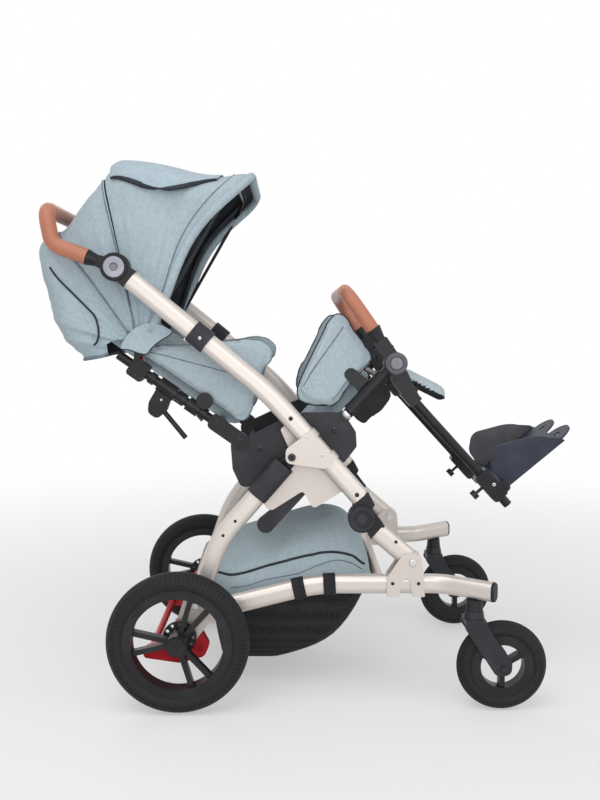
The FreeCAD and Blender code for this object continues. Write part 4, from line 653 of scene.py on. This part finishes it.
def bow_line(angle, reach, half, shoulder, root, sides=14, corner=9, top=16):
    """Points of the cloth over one bow, from the left foot over the top to the right foot."""
    line = [(root + (reach - shoulder - root) * k / sides, half) for k in range(sides)]
    for k in range(corner):
        a = math.pi / 2 * k / corner
        line.append((reach - shoulder + shoulder * math.sin(a), half - shoulder + shoulder * math.cos(a)))
    for k in range(top + 1):
        line.append((reach, (half - shoulder) * (1.0 - 2.0 * k / top)))
    return fan_line(angle, line + [(d, -y) for d, y in reversed(line[:sides + corner])])


def low_root(angle):
    """Lower edge of the side cloth, which rises behind the pivots."""
    return 0.036 + 0.034 * max(0.0, min((angle - 150.0) / 22.0, 1.0))


def fan_sheet(name, stops, angles, half, shoulder, folds, belly):
    """A cloth sheet over a fan of bows: taut at the bows, drawn in between them, with soft radial folds."""
    points = []
    for angle in angles:
        row = bow_line(angle, fan_reach(stops, angle) / 1000, half(angle), shoulder(angle), low_root(angle))
        wide = len(row)
        for c, p in enumerate(row):
            share = c / (wide - 1)
            left = share < 0.5
            reach = Vector((p.x - CANOPY_X, 0.0, p.z - CANOPY_Z)).length
            drawn = belly(angle) * min(reach / 0.3, 1.0)
            fold = noise.noise(Vector((angle * 0.085, reach * 2.4, 3.0 if left else 7.0)))
            ripple = noise.noise(Vector((angle * 0.26, reach * 5.0, 11.0 if left else 17.0)))
            out = Vector((0.0, 1.0 if left else -1.0, 0.0))
            if 0.30 < share < 0.70:
                out = (p - Vector((CANOPY_X, p.y, CANOPY_Z))).normalized()
            points.append(p + out * (fold * folds + ripple * folds * 0.45 - drawn))
    mesh = bpy.data.meshes.new(name)
    mesh.from_pydata([tuple(p) for p in points], [], grid_faces(len(angles) - 1, wide))
    sheet = bpy.data.objects.new(name, mesh)
    scene.collection.objects.link(sheet)
    shape = bmesh.new()
    shape.from_mesh(mesh)
    bmesh.ops.recalc_face_normals(shape, faces=shape.faces)
    middle = Vector((CANOPY_X, 0.0, CANOPY_Z))
    if sum((f.calc_center_median() - middle).dot(f.normal) for f in shape.faces) < 0:
        bmesh.ops.reverse_faces(shape, faces=shape.faces)
    shape.to_mesh(mesh)
    shape.free()
    return sheet


def thickened(sheet, thick, offset=-1.0, finishes=(), finer=True):
    """Give a sheet its finishes, outside and lining, its thickness and a finer curve; returns its cut area."""
    area = sum(face.area for face in sheet.data.polygons)
    for finish in finishes:
        sheet.data.materials.append(finish)
    wall = sheet.modifiers.new("cloth", "SOLIDIFY")
    wall.thickness = thick
    wall.offset = offset
    wall.material_offset = max(len(finishes) - 1, 0)
    wall.material_offset_rim = 0
    if finer:
        curve = sheet.modifiers.new("soft_curve", "SUBSURF")
        curve.levels = 1
        curve.render_levels = 1
    baked(sheet)
    return area


REAR_FAN = ((97.0, 388.0), (102.0, 374.0), (107.0, 353.0), (112.0, 336.0), (118.0, 321.0), (124.0, 312.0),
            (130.0, 310.0))
BAG_FAN = ((116.0, 310.0), (121.0, 308.0), (126.0, 309.0), (131.0, 318.0), (136.0, 315.0), (141.0, 290.0),
           (148.0, 250.0), (156.0, 222.0), (164.0, 200.0), (178.0, 165.0), (192.0, 134.0))
FRONT_FAN = ((52.5, 408.0), (55.0, 428.0), (57.5, 440.0), (60.0, 430.0), (63.0, 410.0), (67.0, 395.0),
             (72.0, 388.0), (78.0, 388.0), (84.0, 390.0), (90.0, 394.0), (96.0, 397.0), (99.0, 388.0),
             (102.0, 374.0), (107.0, 353.0))
canopy_cloth = melange("canopy_cloth", (0.395, 0.49, 0.545))
canopy_lining = moulded("canopy_lining", (0.035, 0.04, 0.05), 0.75, 700.0, 0.3)
LINED, SHEET_WALL = (canopy_cloth, canopy_lining), 0.0026

rear = fan_sheet("canopy_rear", REAR_FAN, [102.0 + k * 1.2 for k in range(21)],
                 lambda a: HALF - 0.0001 * (a - 102.0), lambda a: 0.052 + 0.0006 * (a - 102.0), 0.006,
                 lambda a: 0.006 * math.sin(math.pi * (a - 102.0) / 24.0))
rear_area = thickened(rear, SHEET_WALL, finishes=LINED)
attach(rear, "backrest")


def bag_swell(angle):
    """0 at the bag's two ends and 1 half way."""
    return math.sin((angle - 126.0) / 66.0 * math.pi)


bag = fan_sheet("canopy_bag", BAG_FAN, [126.0 + k * 1.65 for k in range(41)],
                lambda a: HALF - 0.003 + 0.002 * bag_swell(a), lambda a: 0.066 + 0.012 * bag_swell(a), 0.010,
                lambda a: 0.002)
bag_area = thickened(bag, SHEET_WALL, finishes=LINED)
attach(bag, "backrest")
BAG_ROOT = tuple(fan_point(138.0, 0.12, 0.0))
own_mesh(bag)
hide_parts("canopy_shell")

visor = fan_sheet("canopy_visor", FRONT_FAN, [57.0 + k * 1.5 for k in range(30)] + [101.6], lambda a: HALF,
                  lambda a: 0.052, 0.008, lambda a: 0.006 * math.sin(math.pi * (a - 57.0) / 44.6) ** 2)
visor_area = thickened(visor, SHEET_WALL, finishes=LINED)
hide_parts("canopy_front")
BLEND_START, BLEND_END = tuple(fan_point(99.0, 0.25, 0.0)), tuple(fan_point(62.0, 0.25, 0.0))
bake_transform(visor)


def canopy_bow(fan, angle, out, half, shoulder, root):
    """A line along one bow of a fan, standing off its cloth."""
    return bow_line(angle, fan_reach(fan, angle) / 1000 + out, HALF + half, shoulder, root)


rim_line = canopy_bow(FRONT_FAN, 57.0, -0.002, -0.002, 0.052, 0.04)
rim_roll = sewn("canopy_rim", rim_line, 0.0095, canopy_cloth, "visor", sides=14)
sewn("canopy_inner_band", canopy_bow(FRONT_FAN, 60.0, -0.010, -0.010, 0.046, 0.06), 0.006, canopy_lining, "visor")
for name, angle, fan, source, radius in (("canopy_side_seam", 103.0, REAR_FAN, rear, 0.0016),
                                         ("canopy_bag_seam", 125.6, REAR_FAN, rear, 0.0020),
                                         ("canopy_hem", 191.6, BAG_FAN, bag, 0.0035)):
    line = laid(source, canopy_bow(fan, angle, 0.004, 0.004, 0.060, low_root(angle)), 0.0004)
    seam = sewn(name, line, radius, seam_and_fold_shade_thread, "backrest")
    if source is bag:
        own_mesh(seam)
rim_line = laid(visor, canopy_bow(FRONT_FAN, 61.5, 0.004, 0.004, 0.054, 0.05), 0.0003)
sewn("canopy_rim_seam", rim_line, 0.0012, seam_and_fold_shade_thread, "visor", sides=6)

BAG_PIPING = ((139.0, 0.262), (139.0, 0.22), (139.3, 0.18), (140.5, 0.145), (143.5, 0.118), (149.0, 0.100),
              (157.0, 0.091), (166.0, 0.089), (176.0, 0.093), (185.0, 0.100))
for side, word in SIDES:
    line = stepped([fan_point(angle, distance, side * 0.21) for angle, distance in BAG_PIPING], 5)
    line = laid(bag, line, 0.0012)
    for _ in range(5):
        inner = [(line[k - 1] + line[k] * 2 + line[k + 1]) / 4 for k in range(1, len(line) - 1)]
        line = [line[0]] + inner + [line[-1]]
    edge = sewn("canopy_bag_piping_" + word, line, 0.0022, dark_piping, "backrest")
    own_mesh(edge)


# Vent flap on the canopy's top: a second layer of the same cloth, sewn at the back and zipped along its
# edge. A dark strip under its overhang is the zip, widened in two places by a painted shadow under the flap.
FLAP_FAN = tuple((a, r + 4.5) for a, r in FRONT_FAN)
FLAP_EDGE = ((60.0, 400.0), (63.0, 396.0), (66.0, 385.0), (69.0, 371.0), (73.0, 356.0), (78.0, 343.0),
             (83.0, 339.0), (88.0, 345.0), (92.5, 355.0), (98.0, 362.0), (104.0, 350.0))
FLAP_HALF, FLAP_ROWS = HALF + 0.004, 36
flap_points = []
for row in range(FLAP_ROWS):
    angle = 64.0 + row
    reach = fan_reach(FLAP_FAN, angle) / 1000
    edge = fan_reach(FLAP_EDGE, angle) / 1000
    corner = 0.053 if reach - 0.053 < edge else 0.050
    flat_side = reach - corner - edge
    share = max(-1.0, min(flat_side / corner, 1.0))
    start = math.asin(max(-share, 0.0))
    line = []
    for k in range(6):
        if share > 0:
            line.append((min(edge + flat_side * k / 6, reach - corner), FLAP_HALF))
        else:
            line.append((edge, FLAP_HALF - corner * (1 - math.cos(start))))
    for k in range(10):
        a = start + (math.pi / 2 - start) * k / 10
        line.append((reach - corner + corner * math.sin(a), FLAP_HALF - corner + corner * math.cos(a)))
    line += [(reach, (FLAP_HALF - corner) * (1.0 - k / 8)) for k in range(17)]
    line += [(d, -y) for d, y in reversed(line[:16])]
    flap_points += fan_line(angle, line)
flap_wide = len(flap_points) // FLAP_ROWS
flap = joined("canopy_flap", flap_points, grid_faces(FLAP_ROWS - 1, flap_wide))
flap_area = thickened(flap, 0.0024, 0.0, (canopy_cloth,))
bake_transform(flap)
for column, word in ((0, "left"), (flap_wide - 1, "right")):
    points = []
    for k, p in enumerate(flap_points[column::flap_wide]):
        # The strip's narrow base is the zip; where it widens it is painted shadow under the flap's overhang.
        zip_and_shadow_width = 0.0022 + 0.0075 * abs(math.sin(2.0 * math.pi * k / (FLAP_ROWS - 1))) ** 0.8
        down = (p - Vector((CANOPY_X, p.y, CANOPY_Z))).normalized()
        points += [p + down * 0.002, p - down * zip_and_shadow_width]
    zip_and_shadow_strip = joined("canopy_zip_and_shadow_" + word, points, grid_faces(FLAP_ROWS - 1, 2))
    thickened(zip_and_shadow_strip, 0.0016, 0.0, (dark_piping,), finer=False)
    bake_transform(zip_and_shadow_strip)


# Canopy corners: a doubled tab of the same cloth sewn over each bow pivot, so that no hub shows.
# A dark hem closes the tab's lower edge.
def plate(name, line, y0, y1):
    """A flat piece with a side outline of (x, z) points, between two y planes."""
    count = len(line)
    points = [(x, y, z) for y in (y0, y1) for x, z in line]
    faces = [tuple(range(count)), tuple(range(count, 2 * count))] + band_faces(1, count)
    return joined(name, points, faces, smooth=False)


CORNER = ((-125, 761), (-112, 786), (-94, 803), (-67, 813), (-41, 809), (-16, 794), (-42, 775), (-59, 761),
          (-70, 748), (-85, 749), (-106, 756))
HEM_START = Vector((-0.290, 0.794))
corner_line = rounded([Vector(((x - AXLE_X) / 1000, z / 1000)) for x, z in CORNER], 0.004)
first = min(range(len(corner_line)), key=lambda i: (corner_line[i] - HEM_START).length)
for side, word in SIDES:
    tab = plate("canopy_corner_" + word, corner_line, side * 0.1943, side * 0.1961)
    worn(tab, canopy_cloth, "backrest", "blue_fabric")
    sewn("canopy_corner_hem_" + word, at_side(corner_line[first:], side * 0.1955), 0.0014, dark_piping, "backrest")


# Basket: a black knitted mesh tub hung from the rails by webbing loops, under a zipped lid of the melange
# cloth that bulges over what is carried. The tub sags between its floor and its bound rim.
def rounded_loop(rear, front, half, corner, count=96):
    """Even points round a rectangle with large round corners, seen from above."""
    line = []
    for x, y, start in ((front - corner, half - corner, 0), (rear + corner, half - corner, 90),
                        (rear + corner, -half + corner, 180), (front - corner, -half + corner, 270)):
        for k in range(count // 4):
            a = math.radians(start + 90 * k / (count // 4))
            line.append(Vector((x + corner * math.cos(a), y + corner * math.sin(a))))
    return line


def knitted_mesh(name):
    """Black open knit: a lattice of holes painted near black, as the shade seen into them, between glossier
    threads.
    """
    material, wire = opened(name)
    holes = wire.make("ShaderNodeTexVoronoi", {"feature": "F1"},
                      {"Vector": wire.spot(), "Scale": 210.0, "Randomness": 0.25})
    thread = holes.above(0.42, 0.10)
    # The holes take a near-black colour: painted shade in the openings.
    colour = thread.mixed((0.002, 0.002, 0.002, 1.0), (0.014, 0.014, 0.016, 1.0))
    return shaded(material, wire, {"Base Color": colour, "Roughness": 0.78 - thread * 0.2,
                                   "Specular IOR Level": 0.3}, thread, 0.5, 0.0012)


webbing_black = moulded("black_webbing", (0.012, 0.012, 0.014), 0.62, 480.0, 0.5)
TUB_RINGS = (  # height, rear end, front end, half width, corner radius
    (0.060, -0.188, -0.068, 0.130, 0.034), (0.0615, -0.196, -0.052, 0.138, 0.036),
    (0.076, -0.198, -0.008, 0.144, 0.036), (0.089, -0.200, 0.028, 0.149, 0.036),
    (0.112, -0.205, 0.062, 0.155, 0.034), (0.148, -0.211, 0.092, 0.161, 0.034),
    (0.208, -0.220, 0.1245, 0.1675, 0.032), (0.256, -0.2275, 0.1335, 0.1712, 0.030),
    (0.2622, -0.2275, 0.1335, 0.1712, 0.030))
RING = 96
tub_points = []
for level, (z, back, ahead, half, corner) in enumerate(TUB_RINGS):
    swing = math.sin(math.pi * min(level / 7.0, 1.0))
    for i, p in enumerate(rounded_loop(back, ahead, half, corner, RING)):
        sag = noise.noise(Vector((i * 0.13, z * 16.0, 2.0))) * 0.004 * swing
        arm = Vector((p.x - (back + ahead) / 2, p.y))
        p = p + arm.normalized() * (sag - 0.003 * swing)
        tub_points.append((p.x, p.y, z))
tub = joined("basket_mesh_tub", tub_points, band_faces(len(TUB_RINGS) - 1, RING) + [tuple(range(RING))])
tub_area = thickened(tub, 0.002)
worn(tub, knitted_mesh("black_knit"), "base", "black_mesh")
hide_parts("basket_tub")
rim = [Vector((p.x, p.y, 0.2590)) for p in rounded_loop(-0.2285, 0.1345, 0.1722, 0.030)]
worn(piping("basket_binding", rim, 0.0034, closed=True), webbing_black, "base", "webbing")

LID_RISE = ((-0.2275, 0.012), (-0.205, 0.032), (-0.184, 0.046), (-0.14, 0.063), (-0.094, 0.078), (-0.03, 0.098),
            (0.026, 0.111), (0.062, 0.111), (0.092, 0.099), (0.118, 0.068), (0.138, 0.024))
LID_ROWS, LID_COLUMNS, LID_Z, SKIRT_Z = 60, 48, 0.2634, 0.2610
lid_points = []
lid_xs = [-0.2270 + 0.3640 * r / LID_ROWS for r in range(LID_ROWS + 1)]
for x in lid_xs:
    rise = fan_reach(LID_RISE, x)
    for c in range(LID_COLUMNS + 1):
        across = -1.0 + 2.0 * c / LID_COLUMNS
        y = 0.1705 * math.copysign(abs(across) ** 0.82, across)
        crown = max(1.0 - abs(y / 0.1712) ** 3.0, 0.0) ** 0.62
        fold = noise.noise(Vector((x * 9.0, y * 9.0, 5.0))) * 0.0055
        fold += noise.noise(Vector((x * 26.0, y * 26.0, 9.0))) * 0.0022
        gather = math.sin(x * 210.0) * 0.0016 * max(0.0, abs(across) - 0.7) / 0.3
        lid_points.append((x, y, LID_Z + rise * crown + (fold + gather) * min(rise * crown / 0.04, 1.0)))
wide = LID_COLUMNS + 1
lid_faces = grid_faces(LID_ROWS, wide)
for column, side in ((0, -1), (LID_COLUMNS, 1)):
    start = len(lid_points)
    for x in lid_xs:
        end = 0.246 + 0.22 * min(x + 0.021, 0.03)
        for step in (0.0, 0.35, 0.7, 1.0):
            puff = 0.0778 + 0.1 + 0.003 * math.sin(math.pi * step) + math.sin(x * 190.0) * 0.0014 * step
            lid_points.append((x, side * puff, SKIRT_Z + (end - SKIRT_Z) * step))
    for r in range(LID_ROWS):
        a = r * wide + column
        b = start + 4 * r
        quads = [(a, a + wide, b + 4, b)] + [(b + m, b + 4 + m, b + 5 + m, b + 1 + m) for m in range(3)]
        lid_faces += quads if side > 0 else [tuple(reversed(quad)) for quad in quads]
lid = joined("basket_lid", lid_points, lid_faces)
if sum(face.normal.z for face in lid.data.polygons) < 0:
    lid.data.flip_normals()
lid_area = thickened(lid, 0.0024)
worn(lid, melange("lid_cloth", (0.405, 0.50, 0.55)), "base", "blue_fabric")
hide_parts("basket_cover")
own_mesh(lid)
LID_LINES = (  # kind, radius, finish, (x, z) stops
    ("zip", 0.0028, dark_piping,
     ((-0.205, 0.268), (-0.162, 0.263), (-0.084, 0.282), (0.015, 0.304), (0.059, 0.308), (0.098, 0.300),
      (0.124, 0.282))),
    ("seam", 0.0010, seam_and_fold_shade_thread,
     ((-0.170, 0.236), (-0.135, 0.240), (-0.095, 0.253), (-0.018, 0.266), (0.030, 0.284), (0.066, 0.292),
      (0.100, 0.284), (0.120, 0.272))))
for side, word in SIDES:
    for kind, radius, finish, stops in LID_LINES:
        drop = []
        for k in range(64):
            x = stops[0][0] + (stops[-1][0] - stops[0][0]) * k / 63
            beside, inwards = Vector((x, side * 0.3, fan_reach(stops, x))), Vector((0.0, -side, 0.0))
            hit, spot, normal, _ = lid.ray_cast(beside, inwards)
            if hit:
                drop.append(spot + normal * 0.0008)
        line = sewn("basket_lid_" + kind + "_" + word, drop, radius, finish, "base")
        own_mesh(line)

# Webbing loops: woven polypropylene tape round each rail, folded back to a tab sewn to the tub's rim.
# Two loops a side carry the tub, one on either hand of its middle.
loop_points, loop_faces = [], []
TAPE, TAPE_HALF, TAPE_STEPS = 0.0021, 0.013, 40


def tape_loop(x, z, tilt, side):
    """One closed band round a rail, and its tab to the tub."""
    start = len(loop_points)
    c, s = math.cos(math.radians(tilt)), math.sin(math.radians(tilt))
    for k in range(TAPE_STEPS):
        a = 2 * math.pi * k / TAPE_STEPS
        for out in (0.0006, 0.0006 + TAPE):
            for along in (-TAPE_HALF, TAPE_HALF):
                half = 0.014 + out
                lift = math.sin(a) * half + math.copysign(0.007, math.sin(a))
                loop_points.append((x - 0.274 + c * along - s * lift, side * (0.225 + math.cos(a) * half),
                                    z + s * along + c * lift))
    for k in range(TAPE_STEPS):
        a, b = start + 4 * k, start + 4 * ((k + 1) % TAPE_STEPS)
        for m, n in ((0, 1), (1, 3), (3, 2), (2, 0)):
            loop_faces.append((a + m, a + n, b + n, b + m))
    start = len(loop_points)
    for y in (0.1735, 0.2085):
        for along in (-TAPE_HALF, TAPE_HALF):
            for lift in (0.0, TAPE):
                loop_points.append((x - 0.274 + along, side * y, 0.2485 + lift))
    for quad in ((0, 1, 3, 2), (4, 6, 7, 5), (0, 4, 5, 1), (2, 3, 7, 6), (0, 2, 6, 4), (1, 5, 7, 3)):
        loop_faces.append(tuple(start + q for q in quad))


for side, _ in SIDES:
    tape_loop(0.253, 0.2476, 12.4, side)
    tape_loop(0.318, 0.2564, 3.0, side)
loops = joined("basket_webbing", loop_points, loop_faces, smooth=False)
worn(loops, webbing_black, "base", "webbing")
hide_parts("basket_straps")


# Screws, rivets and bolt heads: black-oxide button heads with a hex socket, drawn as a dark hex of painted shade,
# set along the tubes, the hinge plates and the seat shell. One small tree sets a head on each marked point and
# turns it to its side.
def screw_tree(name, head_finish, socket_shade_finish):
    """Sets one button head on each point: a chamfered head with a six-sided patch painted dark as the shade of its
    socket, turned to face out.
    """
    tree = bpy.data.node_groups.new(name, "GeometryNodeTree")
    face = tree.interface
    for label, way, kind in (("Geometry", "INPUT", "Geometry"), ("Head Radius", "INPUT", "Float"),
                             ("Head Height", "INPUT", "Float"), ("Turn", "INPUT", "Float"),
                             ("Geometry", "OUTPUT", "Geometry")):
        face.new_socket(label, in_out=way, socket_type="NodeSocket" + kind)
    build = Wire(tree)
    ports = build.make("NodeGroupInput").socket.node.outputs
    marks, size, tall, turn = (Wire(tree, ports[k]) for k in range(4))

    def raised(shape, height):
        return build.make("GeometryNodeTransform", {}, {"Geometry": shape, "Translation": build.make(
            "ShaderNodeCombineXYZ", {}, {2: height})})

    def together(first, second):
        both = build.make("GeometryNodeJoinGeometry", {}, {"Geometry": first})
        tree.links.new(second.socket, both.socket.node.inputs[0])
        return both

    rim = build.make("GeometryNodeMeshCylinder", {}, {"Vertices": 20, "Radius": size, "Depth": tall})
    dome = build.make("GeometryNodeMeshCone", {}, {"Vertices": 20, "Radius Top": size * 0.66,
                                                   "Radius Bottom": size, "Depth": tall * 0.5})
    key = build.make("GeometryNodeMeshCylinder", {}, {"Vertices": 6, "Radius": size * 0.42, "Depth": tall * 0.2})
    key = build.make("GeometryNodeStoreNamedAttribute", {"data_type": "BOOLEAN", "domain": "FACE"},
                     {"Geometry": raised(key, tall * 0.96), "Name": "hex_socket_shade", "Value": True})
    whole = together(together(rim, raised(dome, tall * 0.5)), key)
    angle = build.make("ShaderNodeCombineXYZ", {}, {0: turn})
    placed = build.make("GeometryNodeInstanceOnPoints", {}, {"Points": marks, "Instance": whole, "Rotation": angle})
    solid = build.make("GeometryNodeRealizeInstances", {}, {"Geometry": placed})
    hollow = build.make("GeometryNodeInputNamedAttribute", {"data_type": "BOOLEAN"}, {"Name": "hex_socket_shade"})
    solid = build.make("GeometryNodeSetMaterial", {}, {"Geometry": solid, "Material": head_finish})
    solid = build.make("GeometryNodeSetMaterial", {},
                       {"Geometry": solid, "Selection": hollow, "Material": socket_shade_finish})
    build.make("NodeGroupOutput", {}, {0: solid})
    return tree


# The socket is a flat hex painted near black: painted shade standing for its hollow.
socket_shade = moulded("socket_shade", (0.004, 0.004, 0.004), 0.6)
head_tree = screw_tree("button_heads", plated("black_oxide", (0.055, 0.055, 0.06), 0.34), socket_shade)
bright_tree = screw_tree("bright_heads", bolt_steel, socket_shade)
HEADS = (  # name, body, head radius and height in metres, tree, (x from the rear axle, y, z) in millimetres
    ("gusset_screws", "push_frame", 0.0030, 0.0012, bright_tree, ((268.7, 242.8, 575.7), (302.3, 242.8, 536.2))),
    ("gusset_bolt", "push_frame", 0.0084, 0.0014, head_tree, ((238.0, 246.2, 533.0),)),
    ("push_tube_screws", "push_frame", 0.0048, 0.0016, head_tree, ((375.4, 239.0, 451.9), (235.7, 239.0, 613.8))),
    ("sleeve_screw", "push_frame", 0.0034, 0.0014, bright_tree, ((47.5, 243.4, 782.0),)),
    ("front_link_screws", "front_links", 0.0036, 0.0014, head_tree, ((430.8, 239.0, 385.4), (458.6, 239.0, 350.9))),
    ("base_screws", "base", 0.0038, 0.0015, head_tree,
     ((452.0, 243.3, 262.0), (507.0, 243.3, 262.0), (112.0, 243.3, 210.0), (84.0, 243.3, 200.0))),
    ("shell_bolts", "seat", 0.0066, 0.0022, head_tree, ((167.9, 190.0, 544.2), (330.5, 190.0, 584.1))),
    ("back_pivot_bolt", "backrest", 0.0058, 0.0020, head_tree, ((126.5, 195.3, 562.7),)),
    ("paddle_rivet", "backrest", 0.0026, 0.0012, bright_tree, ((-42.0, 188.0, 649.0),)),
    ("back_block_rivets", "backrest", 0.0036, 0.0012, head_tree,
     ((-86.4, 195.0, 694.5), (-97.8, 195.0, 702.6), (-109.3, 195.0, 710.6))),
    ("knee_lug_bolt", "legrest", 0.0052, 0.0016, head_tree, ((463.0, 172.7, 684.8),)),
    ("foot_bracket_screw", "foot_slide", 0.0040, 0.0014, bright_tree, ((681.9, 164.0, 460.0),)),
    ("rear_leg_screws", "rear_legs", 0.0034, 0.0013, head_tree, ((92.0, 233.5, 364.0), (118.0, 233.5, 395.0))))
for head_name, body, radius, height, tree, spots in HEADS:
    for side, word in SIDES:
        mesh = bpy.data.meshes.new(head_name + "_" + word)
        mesh.from_pydata([((x - AXLE_X) / 1000, side * y / 1000, z / 1000) for x, y, z in spots], [], [])
        heads = bpy.data.objects.new(head_name + "_" + word, mesh)
        scene.collection.objects.link(heads)
        grow = heads.modifiers.new("heads", "NODES")
        grow.node_group = tree
        values = {"Head Radius": radius, "Head Height": height, "Turn": -math.pi / 2 * side}
        for item in tree.interface.items_tree:
            if item.name in values:
                grow[item.identifier] = values[item.name]
        baked(heads)
        for face in heads.data.polygons:
            face.use_smooth = False
        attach(heads, body)


# Turned caps: the plain ringed caps of the fold hinges, the pale discs of the handle hubs, the knee hinges'
# rings with their push buttons, and the red release buttons. Each is a moulded cap pressed onto its pivot.
def turned(name, body, spot, profile, finish, slot, steps=48):
    """A cap turned from (radius, y) points in millimetres about a pivot, on both sides of the part."""
    count = len(profile)
    for side, word in SIDES:
        points, faces = [], []
        for k in range(steps):
            angle = 2 * math.pi * k / steps
            a, b = k * count, ((k + 1) % steps) * count
            for m, (r, y) in enumerate(profile):
                points.append(((spot[0] - AXLE_X + r * math.cos(angle)) / 1000, side * y / 1000,
                               (spot[1] + r * math.sin(angle)) / 1000))
                n = (m + 1) % count
                faces.append((a + m, a + n, b + n, b + m))
        worn(joined(name + "_" + word, points, faces, smooth=False), finish, body, slot)


knee_grey = moulded("knee_grey", (0.085, 0.085, 0.095), 0.30)
disc_grey = moulded("disc_grey", (0.34, 0.345, 0.40), 0.34)
FOLD, HUB, KNEE = (386.5, 400.6), (-128.0, 928.5), (459.2, 728.3)
CAPS = (  # name, body, pivot, finish, slot, then the (radius, y) points of the turned outline
    ("hinge_ring", "front_links", FOLD, fork_nylon, "black_plastic",
     ((20.0, 244.0), (20.0, 245.2), (21.0, 245.8), (24.5, 245.8), (25.5, 245.2), (25.5, 243.6))),
    ("hinge_boss", "front_links", FOLD, charcoal_nylon, "black_plastic",
     ((0.4, 244.0), (0.4, 246.4), (9.0, 246.4), (11.0, 245.4), (11.0, 244.0))),
    ("handle_disc", "handle", HUB, disc_grey, "grey_plastic",
     ((8.4, 243.0), (8.4, 244.6), (9.4, 245.0), (19.0, 244.8), (21.5, 244.0), (21.5, 243.0))),
    ("knee_ring", "grab", KNEE, knee_grey, "grey_plastic",
     ((0.4, 213.0), (0.4, 219.0), (14.0, 219.0), (15.2, 220.4), (20.5, 220.8), (22.8, 219.8), (23.6, 217.6),
      (23.6, 213.0))),
    ("knee_button", "grab", KNEE, button_grey, "grey_plastic",
     ((0.4, 218.6), (0.4, 221.6), (11.0, 221.6), (12.4, 220.6), (12.4, 218.6))),
    ("back_release_button", "backrest", (-81.5, 739.1), brake_red, "red_plastic",
     ((0.4, 182.0), (0.4, 194.0), (3.4, 194.0), (4.4, 192.8), (4.4, 182.0))),
    ("grab_release_button", "grab", (450.2, 763.7), brake_red, "red_plastic",
     ((0.4, 201.0), (0.4, 213.0), (2.8, 213.0), (3.6, 212.0), (3.6, 201.0))))
for cap_name, body, pivot, finish, slot, profile in CAPS:
    turned(cap_name, body, pivot, profile, finish, slot)


# Foot liners: grey grained rubber sheet glued inside the foot plate's two walls, trimmed a little proud of
# their edges, so that a pale line shows round the dark tray.
def hull(spots):
    """The convex line round a set of points, anticlockwise."""
    halves = []
    for run in (sorted(spots), sorted(spots, reverse=True)):
        line = []
        for p in run:
            while len(line) > 1 and (line[-1][0] - line[-2][0]) * (p[1] - line[-2][1]) \
                    <= (line[-1][1] - line[-2][1]) * (p[0] - line[-2][0]):
                line.pop()
            line.append(p)
        halves += line[:-1]
    return halves


FOOT_TURN = 40.0
WALL_MIDDLE = Vector((0.085, -0.007))
foot_spot = leaning(0.43333, 0.45116, FOOT_TURN)
foot_zero = foot_spot(0.0, 0.0)
foot_along, foot_up = foot_spot(1.0, 0.0) - foot_zero, foot_spot(0.0, 1.0) - foot_zero
wall_spots = set()
for vertex in nodes["footplate"].data.vertices:
    if vertex.co.y > 0.1235:
        arm = Vector((vertex.co.x, vertex.co.z)) - foot_zero
        wall_spots.add((round(arm.dot(foot_along), 5), round(max(arm.dot(foot_up), -0.0072), 5)))
liner_line = []
for spot in hull(wall_spots):
    arm = Vector(spot) - WALL_MIDDLE
    arm = arm + arm.normalized() * (0.0016 if spot[1] > 0.0 else -0.004) + WALL_MIDDLE
    liner_line.append(foot_spot(arm.x, arm.y))
liner_rubber = moulded("liner_rubber", (0.085, 0.086, 0.095), 0.55, 520.0, 0.5)
for side, word in SIDES:
    liner = plate("foot_liner_" + word, liner_line, side * 0.1222, side * 0.1238)
    worn(liner, liner_rubber, "foot", "grey_plastic")

# Bright ferrules: short polished steel sleeves pressed on where a tube leaves its plastic or its cover, on the
# seat tubes above the shell and on the grab bar's necks.
FERRULES = (  # name, body, side-view ends (x from the rear axle, z), y and radius, in millimetres
    ("seat_tube_ferrule", "seat", ((350.7, 610.7), (362.0, 623.0)), 184.0, 12.2),
    ("grab_neck_ferrule", "grab", ((424.6, 777.6), (422.9, 780.1)), 207.5, 11.4))
for ferrule_name, body, line, y, radius in FERRULES:
    for side, word in SIDES:
        ends = [Vector(((x - AXLE_X) / 1000, side * y / 1000, z / 1000)) for x, z in line]
        sleeve = piping(ferrule_name + "_" + word, ends, radius / 1000, sides=28)
        for face in sleeve.data.polygons:
            face.use_smooth = len(face.vertices) == 4
        worn(sleeve, bolt_steel, body, "steel")
